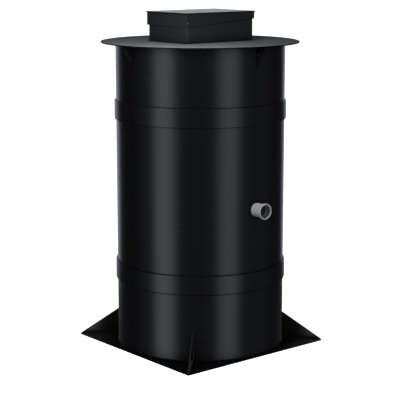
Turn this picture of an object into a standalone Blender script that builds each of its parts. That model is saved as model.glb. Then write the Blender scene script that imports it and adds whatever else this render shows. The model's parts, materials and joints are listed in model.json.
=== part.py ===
"""Household septic tank: a round, welded polypropylene tank that stands on a square base plate.

Frame: metres, +Z up, origin under the middle of the base plate. The plate's sides and the hatch's run along X
and Y. Front is -Y (the lid's deep skirt), rear is +Y (the hinges), right is +X (the grey outlet pipe), left is -X.
"""
import math

import bmesh
import bpy

# Driving dimensions.
SEAT_GAP = 0.0003             # left between pieces that are welded or rest on each other
CIRCLE_STEPS = 96             # sides of every large circle, so that nested rings have parallel facets
PIPE_STEPS = 48
EYE_STEPS = 24
SMALL_STEPS = 16              # sides of screws, pins and small holes
BARREL_STEPS = 18             # sides of the round part of a hinge's outline
BEVEL_ANGLE = 40.0            # sheet edges sharper than this are softened
SMOOTH_ANGLE = 30.0           # facets that meet at less than this are shaded as one round face

SHELL_RADIUS = 0.700          # outside of the round wall
WALL_THICKNESS = 0.008
SEAM_ANGLE = 45.0             # the two sheets of each ring meet here and opposite, over two gussets

BASE_SIDE = 1.478
BASE_THICKNESS = 0.010
BASE_EDGE = 0.001             # softening of the plate's edges
TOP_PLATE_RADIUS = 0.820
TOP_PLATE_THICKNESS = 0.010
TOP_PLATE_HEIGHT = 2.547      # upper face

BAND_HEIGHT = 0.150
BAND_THICKNESS = 0.0136
LOWER_BAND_MIDDLE = 0.6405
UPPER_BAND_MIDDLE = 1.988

GUSSET_THICKNESS = 0.012
GUSSET_HEIGHT = 0.240
GUSSET_NOSE = 0.006           # height of the gusset where it ends at the plate's corner
GUSSET_CORNER_SETBACK = 0.008

BRACKET_THICKNESS = 0.010
BRACKET_REACH = 0.099
BRACKET_HEIGHT = 0.172
BRACKET_NOSE = 0.006
BRACKET_EYE_RADIUS = 0.021
BRACKET_EYE_OUT = 0.030       # from the round wall to the middle of the eye
BRACKET_EYE_DOWN = 0.064      # from the top plate's underside to the middle of the eye
SLING_HOLE_RADIUS = 0.011
SLING_HOLE_ASIDE = 0.043      # to each side of the bracket
SLING_HOLE_CIRCLE = 0.723

NECK_MIDDLE_Y = 0.0085
NECK_HALF_WIDTH = 0.2475      # outside, along X
NECK_HALF_LENGTH = 0.352      # outside, along Y
NECK_THICKNESS = 0.008
NECK_EDGE = 0.0012

LID_TOP = 2.791
LID_PLATE_THICKNESS = 0.010
LID_PLATE_OVERHANG = 0.007    # past the skirts
LID_EDGE = 0.0015
SKIRT_THICKNESS = 0.004
SKIRT_EDGE = 0.0008
SKIRT_CLEARANCE = 0.005       # to the neck, at the sides and the rear
SKIRT_FRONT_CLEARANCE = 0.0075  # the lid swings closer to the neck at the front
FRONT_SKIRT_BOTTOM = 2.679
REAR_SKIRT_BOTTOM = 2.726
SKIRT_LEVEL_LENGTH = 0.070    # the side skirts run level so far from the front, then rise

SCREW_HEAD_RADIUS = 0.006
SCREW_HEAD_HEIGHT = 0.004
SCREW_HEAD_RIM = 0.0014       # height of the head's straight rim, below its crown
SCREW_CROWN_RADIUS = 0.0036   # where the crown flattens
SCREW_CROWN_HEIGHT = 0.0035
SCREW_SHANK_RADIUS = 0.003
SCREW_HOLE_RADIUS = 0.0035
SCREW_FROM_FRONT = 0.013      # from the front skirt's outer face
SCREW_ABOVE_EDGE = 0.029      # from the skirt's lower edge

HINGE_MIDDLE_X = 0.150
HINGE_BARREL_RADIUS = 0.008
HINGE_BARREL_LENGTH = 0.024
HINGE_SIDE_GAP = 0.001        # between the barrels of the base and the leaf
HINGE_PIN_RADIUS = 0.004
HINGE_BORE_RADIUS = 0.0045
HINGE_PIN_HEAD_RADIUS = 0.0065
HINGE_PIN_HEAD_LENGTH = 0.003
HINGE_LEAF_THICKNESS = 0.005
HINGE_LEAF_HEIGHT = 0.046     # above the axis
HINGE_BASE_HEIGHT = 0.054     # below the axis
HINGE_BASE_FOOT = 0.006       # how far the base's lower end stands off the neck
HINGE_BASE_ARC_START = 210.0  # where the barrel leaves the base's flat back, in degrees from +Y
HINGE_BASE_ARC_END = -35.0    # where it leaves the base's slanted face
HINGE_BELOW_SKIRT = 0.0025    # axis below the rear skirt's lower edge

PIPE_RADIUS = 0.055
PIPE_BORE_RADIUS = 0.0518
PIPE_HEIGHT = 1.231
PIPE_INNER_END = 0.660
PIPE_OUTER_END = 0.817
PIPE_HOLE_RADIUS = 0.0555     # in the round wall
CUTTER_LENGTH = 0.2
SOCKET_RADIUS = 0.0582        # the pipe widens into a socket for the next pipe
SOCKET_BORE_RADIUS = 0.0557
SOCKET_DEPTH = 0.050
SOCKET_FLARE = 0.006          # length over which the pipe widens
SOCKET_RIM_RADIUS = 0.064     # outside, over the groove of the rubber ring
SOCKET_RIM_LENGTH = 0.018
SOCKET_RIM_EDGE = 0.0015
RING_GROOVE_RADIUS = 0.0605
RING_GROOVE_START = 0.016     # from the mouth
RING_GROOVE_END = 0.008

# Values worked out from them.
BASE_TOP = BASE_THICKNESS
TOP_PLATE_UNDERSIDE = TOP_PLATE_HEIGHT - TOP_PLATE_THICKNESS
LID_UNDERSIDE = LID_TOP - LID_PLATE_THICKNESS
NECK_FRONT = NECK_MIDDLE_Y - NECK_HALF_LENGTH
NECK_REAR = NECK_MIDDLE_Y + NECK_HALF_LENGTH
SKIRT_SIDE = NECK_HALF_WIDTH + SKIRT_CLEARANCE + SKIRT_THICKNESS
SKIRT_FRONT = NECK_FRONT - SKIRT_FRONT_CLEARANCE - SKIRT_THICKNESS
SKIRT_REAR = NECK_REAR + SKIRT_CLEARANCE + SKIRT_THICKNESS
SCREW_Y = SKIRT_FRONT + SCREW_FROM_FRONT
SCREW_Z = FRONT_SKIRT_BOTTOM + SCREW_ABOVE_EDGE
HINGE_AXIS_Y = SKIRT_REAR + SEAT_GAP + HINGE_BARREL_RADIUS
HINGE_AXIS_Z = REAR_SKIRT_BOTTOM - HINGE_BELOW_SKIRT

PARTS_NAME = "septic_tank"
CUTTERS_NAME = "septic_tank_cutters"


def clear_scene():
    for item in list(bpy.data.objects):
        bpy.data.objects.remove(item, do_unlink=True)


def new_collection(name):
    collection = bpy.data.collections.new(name)
    bpy.context.scene.collection.children.link(collection)
    return collection


def plain_material(name, colour, roughness, metallic=0.0):
    material = bpy.data.materials.new(name)
    material.use_nodes = True
    shader = material.node_tree.nodes["Principled BSDF"]
    shader.inputs["Base Color"].default_value = (*colour, 1.0)
    shader.inputs["Roughness"].default_value = roughness
    shader.inputs["Metallic"].default_value = metallic
    return material


def black_plastic():
    return plain_material("black_polypropylene", (0.012, 0.012, 0.013), 0.38)


def grey_plastic():
    return plain_material("grey_polypropylene", (0.21, 0.21, 0.215), 0.50)


def steel():
    return plain_material("stainless_steel", (0.62, 0.62, 0.60), 0.35, metallic=1.0)


def place(item, location, rotation=(0.0, 0.0, 0.0), carrier=None):
    """Put a piece at a world location, under the empty that carries it where it moves."""
    item.parent = carrier
    origin = carrier.location if carrier else (0.0, 0.0, 0.0)
    item.location = [value - start for value, start in zip(location, origin)]
    item.rotation_euler = [math.radians(angle) for angle in rotation]
    return item


def add_to(collection, item, material=None):
    for owner in list(item.users_collection):
        owner.objects.unlink(item)
    collection.objects.link(item)
    if material:
        item.data.materials.clear()
        item.data.materials.append(material)
    return item


def soften_edges(item, width, segments=1):
    bevel = item.modifiers.new("soft_edges", "BEVEL")
    bevel.width = width
    bevel.segments = segments
    bevel.limit_method = "ANGLE"
    bevel.angle_limit = math.radians(BEVEL_ANGLE)


def box(name, size, material, collection, edge=0.0):
    """A plain sheet or bar of the given size, centred on its origin."""
    bpy.ops.mesh.primitive_cube_add(size=1.0)
    item = bpy.context.object
    item.name = item.data.name = name
    item.scale = size
    bpy.ops.object.transform_apply(location=False, rotation=False, scale=True)
    if edge:
        soften_edges(item, edge)
    return add_to(collection, item, material)


def cut_sheet(name, outlines, thickness, material, collection):
    """A flat sheet cut to closed outlines, first its edge and then its holes, centred on its plane."""
    curve = bpy.data.curves.new(name + "_outline", "CURVE")
    curve.dimensions = "2D"
    curve.fill_mode = "BOTH"
    curve.extrude = thickness / 2
    for outline in outlines:
        spline = curve.splines.new("POLY")
        spline.points.add(len(outline) - 1)
        for point, (x, y) in zip(spline.points, outline):
            point.co = (x, y, 0.0, 1.0)
        spline.use_cyclic_u = True
    drawing = bpy.data.objects.new(name + "_outline", curve)
    collection.objects.link(drawing)
    mesh = bpy.data.meshes.new_from_object(drawing.evaluated_get(bpy.context.evaluated_depsgraph_get()))
    bpy.data.objects.remove(drawing, do_unlink=True)
    bpy.data.curves.remove(curve)
    work = bmesh.new()
    work.from_mesh(mesh)
    bmesh.ops.remove_doubles(work, verts=work.verts, dist=0.00001)
    bmesh.ops.recalc_face_normals(work, faces=work.faces)
    work.to_mesh(mesh)
    work.free()
    mesh.name = name
    item = bpy.data.objects.new(name, mesh)
    return add_to(collection, item, material)


def turned(name, profile, material, collection, steps):
    """A piece turned about its own Z from a closed profile that runs down its outer side."""
    mesh = bpy.data.meshes.new(name)
    work = bmesh.new()
    corners = [work.verts.new((radius, 0.0, height)) for radius, height in profile]
    for start, end in zip(corners, corners[1:] + corners[:1]):
        if start.co.x > 0.0 or end.co.x > 0.0:
            work.edges.new((start, end))
    work.to_mesh(mesh)
    work.free()
    item = bpy.data.objects.new(name, mesh)
    screw = item.modifiers.new("turn", "SCREW")
    screw.steps = screw.render_steps = steps
    screw.use_merge_vertices = True
    screw.merge_threshold = 0.00001
    screw.use_smooth_shade = True
    return add_to(collection, item, material)


def round_shading(item):
    item.data.shade_smooth()
    item.data.set_sharp_from_angle(angle=math.radians(SMOOTH_ANGLE))
    return item


def arc(radius, start, end, steps, centre=(0.0, 0.0)):
    angles = [math.radians(start + (end - start) * step / steps) for step in range(steps + 1)]
    return [(centre[0] + radius * math.cos(a), centre[1] + radius * math.sin(a)) for a in angles]


def circle(radius, steps, centre=(0.0, 0.0)):
    return arc(radius, 0.0, 360.0, steps, centre)[:-1]


def seam_to_seam_arc(radius, start):
    """Half a circle from one seam to the other, each end half a seat gap short of the seam."""
    points = arc(radius, start, start + 180.0, CIRCLE_STEPS // 2)
    back = math.degrees(SEAT_GAP / 2 / radius)
    points[0] = arc(radius, start + back, start + back, 1)[0]
    points[-1] = arc(radius, start + 180.0 - back, start + 180.0 - back, 1)[0]
    return points


def half_ring(name, outer_radius, thickness, bottom, top, start, material, collection):
    outline = seam_to_seam_arc(outer_radius, start) + seam_to_seam_arc(outer_radius - thickness, start)[::-1]
    item = cut_sheet(name, [outline], top - bottom, material, collection)
    return round_shading(place(item, (0.0, 0.0, (bottom + top) / 2)))


def ring_halves(name, outer_radius, thickness, bottom, top, material, collection):
    """The two sheets of one ring: the half that faces the outlet side, and the blank half."""
    halves = {}
    for side, start in (("outlet_half", SEAM_ANGLE - 180.0), ("blank_half", SEAM_ANGLE)):
        halves[side] = half_ring(f"{name}_{side}", outer_radius, thickness, bottom, top, start, material,
                                 collection)
    return halves


def make_base_plate(material, collection):
    plate = box("base_plate", (BASE_SIDE, BASE_SIDE, BASE_THICKNESS), material, collection, BASE_EDGE)
    place(plate, (0.0, 0.0, BASE_THICKNESS / 2))


def make_gussets(material, collection):
    """Four upright triangles that run from the round wall out to the base plate's corners."""
    inner = SHELL_RADIUS + SEAT_GAP
    outer = BASE_SIDE / 2 * math.sqrt(2) - GUSSET_CORNER_SETBACK
    outline = [(inner, 0.0), (outer, 0.0), (outer, GUSSET_NOSE), (inner, GUSSET_HEIGHT)]
    corners = {"rear_right": 45.0, "rear_left": 135.0, "front_left": 225.0, "front_right": 315.0}
    for corner, angle in corners.items():
        gusset = cut_sheet(f"gusset_{corner}", [outline], GUSSET_THICKNESS, material, collection)
        place(gusset, (0.0, 0.0, BASE_TOP + SEAT_GAP), (90.0, 0.0, angle))


def pipe_hole_cutter(cutters):
    bpy.ops.mesh.primitive_cylinder_add(vertices=PIPE_STEPS, radius=PIPE_HOLE_RADIUS, depth=CUTTER_LENGTH)
    cutter = bpy.context.object
    cutter.name = cutter.data.name = "outlet_hole_cutter"
    cutter.hide_render = True
    cutter.display_type = "WIRE"
    add_to(cutters, cutter)
    return place(cutter, (SHELL_RADIUS, 0.0, PIPE_HEIGHT), (0.0, 90.0, 0.0))


def make_round_wall(material, collection, cutters):
    """Three rings of sheet, one on the other, which meet behind the middles of the two bands."""
    joints = [BASE_TOP, LOWER_BAND_MIDDLE, UPPER_BAND_MIDDLE, TOP_PLATE_UNDERSIDE]
    rings = {}
    for name, bottom, top in zip(("lower_wall", "middle_wall", "upper_wall"), joints, joints[1:]):
        foot = bottom + SEAT_GAP
        head = top - SEAT_GAP if top == TOP_PLATE_UNDERSIDE else top
        rings[name] = ring_halves(name, SHELL_RADIUS, WALL_THICKNESS, foot, head, material, collection)
    hole = rings["middle_wall"]["outlet_half"].modifiers.new("outlet_hole", "BOOLEAN")
    hole.object = pipe_hole_cutter(cutters)
    hole.operation = "DIFFERENCE"
    hole.solver = "EXACT"


def make_bands(material, collection):
    outer = SHELL_RADIUS + SEAT_GAP + BAND_THICKNESS
    for name, middle in (("lower_band", LOWER_BAND_MIDDLE), ("upper_band", UPPER_BAND_MIDDLE)):
        bottom, top = middle - BAND_HEIGHT / 2, middle + BAND_HEIGHT / 2
        ring_halves(name, outer, BAND_THICKNESS, bottom, top, material, collection)


def sling_hole_outlines():
    """Two small holes for each lifting bracket, one to each side of it, just outside the round wall."""
    outlines = []
    for quarter in range(4):
        turn = math.radians(90.0 * quarter)
        for aside in (-SLING_HOLE_ASIDE, SLING_HOLE_ASIDE):
            x = SLING_HOLE_CIRCLE * math.cos(turn) - aside * math.sin(turn)
            y = SLING_HOLE_CIRCLE * math.sin(turn) + aside * math.cos(turn)
            outlines.append(circle(SLING_HOLE_RADIUS, SMALL_STEPS, (x, y)))
    return outlines


def make_top_plate(material, collection):
    """The round plate that closes the tank, cut out under the hatch neck."""
    half_width = NECK_HALF_WIDTH - NECK_THICKNESS
    half_length = NECK_HALF_LENGTH - NECK_THICKNESS
    front, rear = NECK_MIDDLE_Y - half_length, NECK_MIDDLE_Y + half_length
    hatch = [(-half_width, front), (half_width, front), (half_width, rear), (-half_width, rear)]
    outlines = [circle(TOP_PLATE_RADIUS, CIRCLE_STEPS), hatch] + sling_hole_outlines()
    plate = cut_sheet("top_plate", outlines, TOP_PLATE_THICKNESS, material, collection)
    round_shading(place(plate, (0.0, 0.0, TOP_PLATE_HEIGHT - TOP_PLATE_THICKNESS / 2)))


def make_lifting_brackets(material, collection):
    """Four upright triangles under the top plate's rim, each with an eye for a sling."""
    inner = SHELL_RADIUS + SEAT_GAP
    outline = [(inner, 0.0), (inner, -BRACKET_HEIGHT), (inner + BRACKET_REACH, -BRACKET_NOSE),
               (inner + BRACKET_REACH, 0.0)]
    eye = circle(BRACKET_EYE_RADIUS, EYE_STEPS, (SHELL_RADIUS + BRACKET_EYE_OUT, -BRACKET_EYE_DOWN))
    for side, angle in {"right": 0.0, "rear": 90.0, "left": 180.0, "front": 270.0}.items():
        bracket = cut_sheet(f"lifting_bracket_{side}", [outline, eye], BRACKET_THICKNESS, material, collection)
        place(bracket, (0.0, 0.0, TOP_PLATE_UNDERSIDE - SEAT_GAP), (90.0, 0.0, angle))


def make_neck(material, collection):
    """Four upright sheets round the hatch: front and rear run full width, the sides stand between them."""
    bottom, top = TOP_PLATE_HEIGHT + SEAT_GAP, LID_UNDERSIDE - SEAT_GAP
    height, middle = top - bottom, (top + bottom) / 2
    full_width = 2 * NECK_HALF_WIDTH
    side_length = 2 * (NECK_HALF_LENGTH - NECK_THICKNESS - SEAT_GAP)
    ends = (("neck_front_wall", NECK_FRONT, 1), ("neck_rear_wall", NECK_REAR, -1))
    for name, outer_face, inward in ends:
        wall = box(name, (full_width, NECK_THICKNESS, height), material, collection, NECK_EDGE)
        place(wall, (0.0, outer_face + inward * NECK_THICKNESS / 2, middle))
    for name, side in (("neck_left_wall", -1), ("neck_right_wall", 1)):
        wall = box(name, (NECK_THICKNESS, side_length, height), material, collection)
        place(wall, (side * (NECK_HALF_WIDTH - NECK_THICKNESS / 2), NECK_MIDDLE_Y, middle))


def side_skirt_outline():
    """Seen from the right: level by the front corner, then rising to the shallow rear skirt."""
    front, rear = SKIRT_FRONT + SKIRT_THICKNESS + SEAT_GAP, SKIRT_REAR - SKIRT_THICKNESS - SEAT_GAP
    bend = SKIRT_FRONT + SKIRT_LEVEL_LENGTH
    top = LID_UNDERSIDE - SEAT_GAP
    return [(front, FRONT_SKIRT_BOTTOM), (bend, FRONT_SKIRT_BOTTOM), (rear, REAR_SKIRT_BOTTOM), (rear, top),
            (front, top)]


def make_lid(material, collection, axis):
    """A flat plate with a skirt round it: deep at the front, shallow at the hinges, tapered at the sides."""
    width = 2 * (SKIRT_SIDE + LID_PLATE_OVERHANG)
    front, rear = SKIRT_FRONT - LID_PLATE_OVERHANG, SKIRT_REAR + LID_PLATE_OVERHANG
    plate = box("lid_top_plate", (width, rear - front, LID_PLATE_THICKNESS), material, collection, LID_EDGE)
    place(plate, (0.0, (front + rear) / 2, LID_TOP - LID_PLATE_THICKNESS / 2), carrier=axis)
    top = LID_UNDERSIDE - SEAT_GAP
    ends = (("lid_front_skirt", SKIRT_FRONT + SKIRT_THICKNESS / 2, FRONT_SKIRT_BOTTOM),
            ("lid_rear_skirt", SKIRT_REAR - SKIRT_THICKNESS / 2, REAR_SKIRT_BOTTOM))
    for name, y, bottom in ends:
        skirt = box(name, (2 * SKIRT_SIDE, SKIRT_THICKNESS, top - bottom), material, collection, SKIRT_EDGE)
        place(skirt, (0.0, y, (top + bottom) / 2), carrier=axis)
    screw_hole = circle(SCREW_HOLE_RADIUS, SMALL_STEPS, (SCREW_Y, SCREW_Z))
    for name, side in (("lid_left_skirt", -1), ("lid_right_skirt", 1)):
        skirt = cut_sheet(name, [side_skirt_outline(), screw_hole], SKIRT_THICKNESS, material, collection)
        place(skirt, (side * (SKIRT_SIDE - SKIRT_THICKNESS / 2), 0.0, 0.0), (90.0, 0.0, 90.0), carrier=axis)


def make_lid_screws(material, collection, axis):
    """One round-headed screw through each side skirt, close to the front corner."""
    profile = [(0.0, SCREW_HEAD_HEIGHT), (SCREW_CROWN_RADIUS, SCREW_CROWN_HEIGHT),
               (SCREW_HEAD_RADIUS, SCREW_HEAD_RIM), (SCREW_HEAD_RADIUS, 0.0), (SCREW_SHANK_RADIUS, 0.0),
               (SCREW_SHANK_RADIUS, -SKIRT_THICKNESS), (0.0, -SKIRT_THICKNESS)]
    for name, side in (("lid_screw_left", -1), ("lid_screw_right", 1)):
        screw = turned(name, profile, material, collection, SMALL_STEPS)
        head_seat = (side * (SKIRT_SIDE + SEAT_GAP), SCREW_Y, SCREW_Z)
        place(screw, head_seat, (0.0, side * 90.0, 0.0), carrier=axis)


def hinge_base_outline():
    """Seen from the right, about the axis: a wedge on the neck's rear wall that ends in the barrel."""
    wall = NECK_REAR + SEAT_GAP - HINGE_AXIS_Y
    barrel = arc(HINGE_BARREL_RADIUS, HINGE_BASE_ARC_START, HINGE_BASE_ARC_END, BARREL_STEPS)
    foot = [(wall + HINGE_BASE_FOOT, -HINGE_BASE_HEIGHT), (wall, -HINGE_BASE_HEIGHT)]
    return [(wall, barrel[0][1])] + barrel + foot


def hinge_leaf_outline():
    """Seen from the right, about the axis: a flat leaf on the rear skirt that ends in the barrel."""
    leaf_front = -HINGE_BARREL_RADIUS + HINGE_LEAF_THICKNESS
    meeting = math.degrees(math.acos(leaf_front / HINGE_BARREL_RADIUS))
    barrel = arc(HINGE_BARREL_RADIUS, 180.0, 360.0 + meeting, BARREL_STEPS)
    return [(-HINGE_BARREL_RADIUS, HINGE_LEAF_HEIGHT)] + barrel + [(leaf_front, HINGE_LEAF_HEIGHT)]


def make_hinges(plastic, metal, collection, axis):
    """Two hinges at the rear: a base on the neck, a leaf on the lid beside it, a pin through both."""
    bore = circle(HINGE_BORE_RADIUS, SMALL_STEPS)
    aside = (HINGE_BARREL_LENGTH + HINGE_SIDE_GAP) / 2
    half = HINGE_BARREL_LENGTH + HINGE_SIDE_GAP / 2 + SEAT_GAP
    end = half + HINGE_PIN_HEAD_LENGTH
    pin_profile = [(0.0, end), (HINGE_PIN_HEAD_RADIUS, end), (HINGE_PIN_HEAD_RADIUS, half),
                   (HINGE_PIN_RADIUS, half), (HINGE_PIN_RADIUS, -half), (HINGE_PIN_HEAD_RADIUS, -half),
                   (HINGE_PIN_HEAD_RADIUS, -end), (0.0, -end)]
    for side_name, side in (("left", -1), ("right", 1)):
        middle = side * HINGE_MIDDLE_X
        base_outlines, leaf_outlines = [hinge_base_outline(), bore], [hinge_leaf_outline(), bore]
        base = cut_sheet(f"hinge_base_{side_name}", base_outlines, HINGE_BARREL_LENGTH, plastic, collection)
        place(base, (middle + side * aside, HINGE_AXIS_Y, HINGE_AXIS_Z), (90.0, 0.0, 90.0))
        leaf = cut_sheet(f"hinge_leaf_{side_name}", leaf_outlines, HINGE_BARREL_LENGTH, plastic, collection)
        leaf_seat = (middle - side * aside, HINGE_AXIS_Y, HINGE_AXIS_Z)
        place(leaf, leaf_seat, (90.0, 0.0, 90.0), carrier=axis)
        pin = turned(f"hinge_pin_{side_name}", pin_profile, metal, collection, SMALL_STEPS)
        place(pin, (middle, HINGE_AXIS_Y, HINGE_AXIS_Z), (0.0, 90.0, 0.0))


def outlet_pipe_profile():
    """Down the outer side from the mouth to the end inside the tank, then back through the bore."""
    start, mouth = PIPE_INNER_END - SHELL_RADIUS, PIPE_OUTER_END - SHELL_RADIUS
    rim, step = mouth - SOCKET_RIM_LENGTH, mouth - SOCKET_DEPTH
    outside = [(SOCKET_RIM_RADIUS - SOCKET_RIM_EDGE, mouth), (SOCKET_RIM_RADIUS, mouth - SOCKET_RIM_EDGE),
               (SOCKET_RIM_RADIUS, rim), (SOCKET_RADIUS, rim - SOCKET_FLARE), (SOCKET_RADIUS, step),
               (PIPE_RADIUS, step - SOCKET_FLARE), (PIPE_RADIUS, start)]
    inside = [(PIPE_BORE_RADIUS, start), (PIPE_BORE_RADIUS, step - SOCKET_FLARE / 2),
              (SOCKET_BORE_RADIUS, step), (SOCKET_BORE_RADIUS, mouth - RING_GROOVE_START),
              (RING_GROOVE_RADIUS, mouth - RING_GROOVE_START), (RING_GROOVE_RADIUS, mouth - RING_GROOVE_END),
              (SOCKET_BORE_RADIUS, mouth - RING_GROOVE_END), (SOCKET_BORE_RADIUS, mouth)]
    return outside + inside


def make_outlet_pipe(material, collection):
    """A short grey pipe through the round wall, which widens into a socket at its outer end."""
    pipe = turned("outlet_pipe", outlet_pipe_profile(), material, collection, PIPE_STEPS)
    place(pipe, (SHELL_RADIUS, 0.0, PIPE_HEIGHT), (0.0, 90.0, 0.0))


def lid_axis(collection):
    axis = bpy.data.objects.new("lid_hinge_axis", None)
    axis.location = (0.0, HINGE_AXIS_Y, HINGE_AXIS_Z)
    collection.objects.link(axis)
    return axis


def main():
    clear_scene()
    parts = new_collection(PARTS_NAME)
    cutters = new_collection(CUTTERS_NAME)
    plastic, pipe_plastic, metal = black_plastic(), grey_plastic(), steel()
    axis = lid_axis(parts)
    make_base_plate(plastic, parts)
    make_gussets(plastic, parts)
    make_round_wall(plastic, parts, cutters)
    make_bands(plastic, parts)
    make_top_plate(plastic, parts)
    make_lifting_brackets(plastic, parts)
    make_neck(plastic, parts)
    make_lid(plastic, parts, axis)
    make_lid_screws(metal, parts, axis)
    make_hinges(plastic, metal, parts, axis)
    make_outlet_pipe(pipe_plastic, parts)


main()
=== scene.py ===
# %% [markdown]
# # A septic tank of welded black plastic sheet
#
# The plain solids of the tank are loaded as a fixed frame. This file gives each of them its real surface:
# rolled sheet with rounded edges, weld beads, a grey drain pipe, screws and hinges. Work through the
# cells from the top. Each one makes a piece or a finish and prints what it made.

# %% Load the fixed frame
import json
import math

import bpy
from mathutils import Matrix, Vector, noise
from mathutils.geometry import tessellate_polygon


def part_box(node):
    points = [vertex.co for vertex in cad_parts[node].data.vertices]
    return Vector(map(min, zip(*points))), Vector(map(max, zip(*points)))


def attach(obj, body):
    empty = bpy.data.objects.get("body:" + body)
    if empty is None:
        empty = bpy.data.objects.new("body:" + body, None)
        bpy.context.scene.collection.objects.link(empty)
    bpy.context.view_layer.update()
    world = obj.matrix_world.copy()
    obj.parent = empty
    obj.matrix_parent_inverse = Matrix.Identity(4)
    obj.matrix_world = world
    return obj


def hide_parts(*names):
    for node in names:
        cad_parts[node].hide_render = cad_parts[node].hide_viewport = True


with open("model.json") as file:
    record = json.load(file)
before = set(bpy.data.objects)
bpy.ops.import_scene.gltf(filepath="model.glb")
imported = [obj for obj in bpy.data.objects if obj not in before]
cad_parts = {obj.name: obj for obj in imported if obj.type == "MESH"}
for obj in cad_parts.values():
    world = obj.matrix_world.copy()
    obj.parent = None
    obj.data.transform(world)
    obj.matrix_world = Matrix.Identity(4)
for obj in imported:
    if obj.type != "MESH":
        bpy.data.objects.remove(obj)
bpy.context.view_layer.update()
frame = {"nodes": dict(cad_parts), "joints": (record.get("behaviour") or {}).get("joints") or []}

print("solids in the frame:", len(frame["nodes"]))

# %% [markdown]
# ## The camera
#
# The tank is seen from its front right corner, from a little above its lid, through a long lens. The
# camera stands on a circle round the tank's axis and looks at that axis. A long lens from far away keeps
# the upright lines almost parallel, so the lens and the distance have to be set as a pair: a nearer
# camera with a shorter lens would give the same size, but with rims that bulge towards the viewer.

# %% Place the camera
CAMERA_DISTANCE = 10.801          # from the tank's axis
CAMERA_HEIGHT = 3.2887
CAMERA_AROUND = 50.139            # degrees from the front towards the right side
CAMERA_TILT = 10.916              # degrees downwards
CAMERA_LENS = 117.05              # millimetres, on a sensor 36 mm wide
CAMERA_SHIFT = -0.0004            # of the picture's width
SENSOR_WIDTH = 36.0
CAMERA_SIGHT = 300.0              # metres, past the far edge of the floor

camera = bpy.data.objects.new("camera", bpy.data.cameras.new("camera"))
around = math.radians(CAMERA_AROUND)
camera.location = (CAMERA_DISTANCE * math.sin(around), -CAMERA_DISTANCE * math.cos(around), CAMERA_HEIGHT)
camera.rotation_euler = (math.radians(90.0 - CAMERA_TILT), 0.0, around)
camera.data.lens = CAMERA_LENS
camera.data.shift_x = CAMERA_SHIFT
camera.data.sensor_width = SENSOR_WIDTH
camera.data.clip_end = CAMERA_SIGHT
bpy.context.collection.objects.link(camera)
bpy.context.scene.camera = camera
print("camera at", [round(value, 3) for value in camera.location])

# %% [markdown]
# ## Read the sizes from the frame
#
# Every size that the solids already hold is read from them, so the surface can't drift away from the
# frame. Only what a box can't tell, such as a sheet's thickness or a hole's radius, is written here as a
# number.

# %% Measure the frame
SEAT_GAP = 0.0003                 # the frame leaves this between solids that touch
WALL_THICKNESS = 0.008
BAND_THICKNESS = 0.0136


def lowest(node):
    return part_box(node)[0]


def highest(node):
    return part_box(node)[1]


wall_radius = highest("lower_wall_outlet_half").x
band_radius = highest("lower_band_outlet_half").x
rim_radius = highest("top_plate").x
base_half = highest("base_plate").x
base_top = highest("base_plate").z
rim_top = highest("top_plate").z
rim_underside = lowest("top_plate").z
neck_half_width = highest("neck_front_wall").x
neck_front, neck_rear = lowest("neck_front_wall").y, highest("neck_rear_wall").y
lid_top, lid_underside = highest("lid_top_plate").z, lowest("lid_top_plate").z
hinge_y, hinge_z = frame["joints"][0]["pos_m"][1:]
pipe_centre = (lowest("outlet_pipe").z + highest("outlet_pipe").z) / 2
print("wall radius", round(wall_radius, 4), "lid top", round(lid_top, 4))
print("hinge", round(hinge_y, 4), round(hinge_z, 4))

# %% [markdown]
# ## Small helpers for shader nodes
#
# A shader is a tree of nodes. Written out one node at a time it soon fills pages, so a few helpers do the
# repeated work: add a node with its inputs, calculate with numbers, turn a range of values into another,
# blend two colours, draw a noise pattern, and start a group of nodes that several materials can use.

# %% Shader helpers
def add_node(tree, kind, settings=None, **inputs):
    """Add a node; an input is a plain value or another node's output. A name's _ stands for a space."""
    node = tree.nodes.new(kind)
    for name, value in (settings or {}).items():
        setattr(node, name, value)
    for name, value in inputs.items():
        feed(tree, node.inputs[name.replace("_", " ")], value)
    return node


def feed(tree, socket, value):
    if isinstance(value, bpy.types.NodeSocket):
        tree.links.new(value, socket)
    else:
        socket.default_value = value


def math_node(tree, operation, first, second=0.0):
    node = add_node(tree, "ShaderNodeMath", {"operation": operation})
    feed(tree, node.inputs[0], first)
    feed(tree, node.inputs[1], second)
    return node.outputs[0]


def add_up(tree, *values):
    total = values[0]
    for value in values[1:]:
        total = math_node(tree, "ADD", total, value)
    return total


def multiply(tree, *values):
    product = values[0]
    for value in values[1:]:
        product = math_node(tree, "MULTIPLY", product, value)
    return product


def smooth_range(tree, value, low, high, out_low=0.0, out_high=1.0):
    settings = {"interpolation_type": "SMOOTHSTEP"}
    node = add_node(tree, "ShaderNodeMapRange", settings, Value=value, From_Min=low, From_Max=high,
                    To_Min=out_low, To_Max=out_high)
    return node.outputs["Result"]


def blend_colours(tree, share, first, second):
    node = add_node(tree, "ShaderNodeMix", {"data_type": "RGBA"})
    colour_sockets = [socket for socket in node.inputs if socket.type == "RGBA"]
    feed(tree, node.inputs[0], share)
    feed(tree, colour_sockets[0], first)
    feed(tree, colour_sockets[1], second)
    return next(socket for socket in node.outputs if socket.type == "RGBA")


def coordinates(tree, kind="Object"):
    return add_node(tree, "ShaderNodeTexCoord").outputs[kind]


def noise_pattern(tree, where, scale, detail):
    return add_node(tree, "ShaderNodeTexNoise", Vector=where, Scale=scale, Detail=detail).outputs["Fac"]


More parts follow.
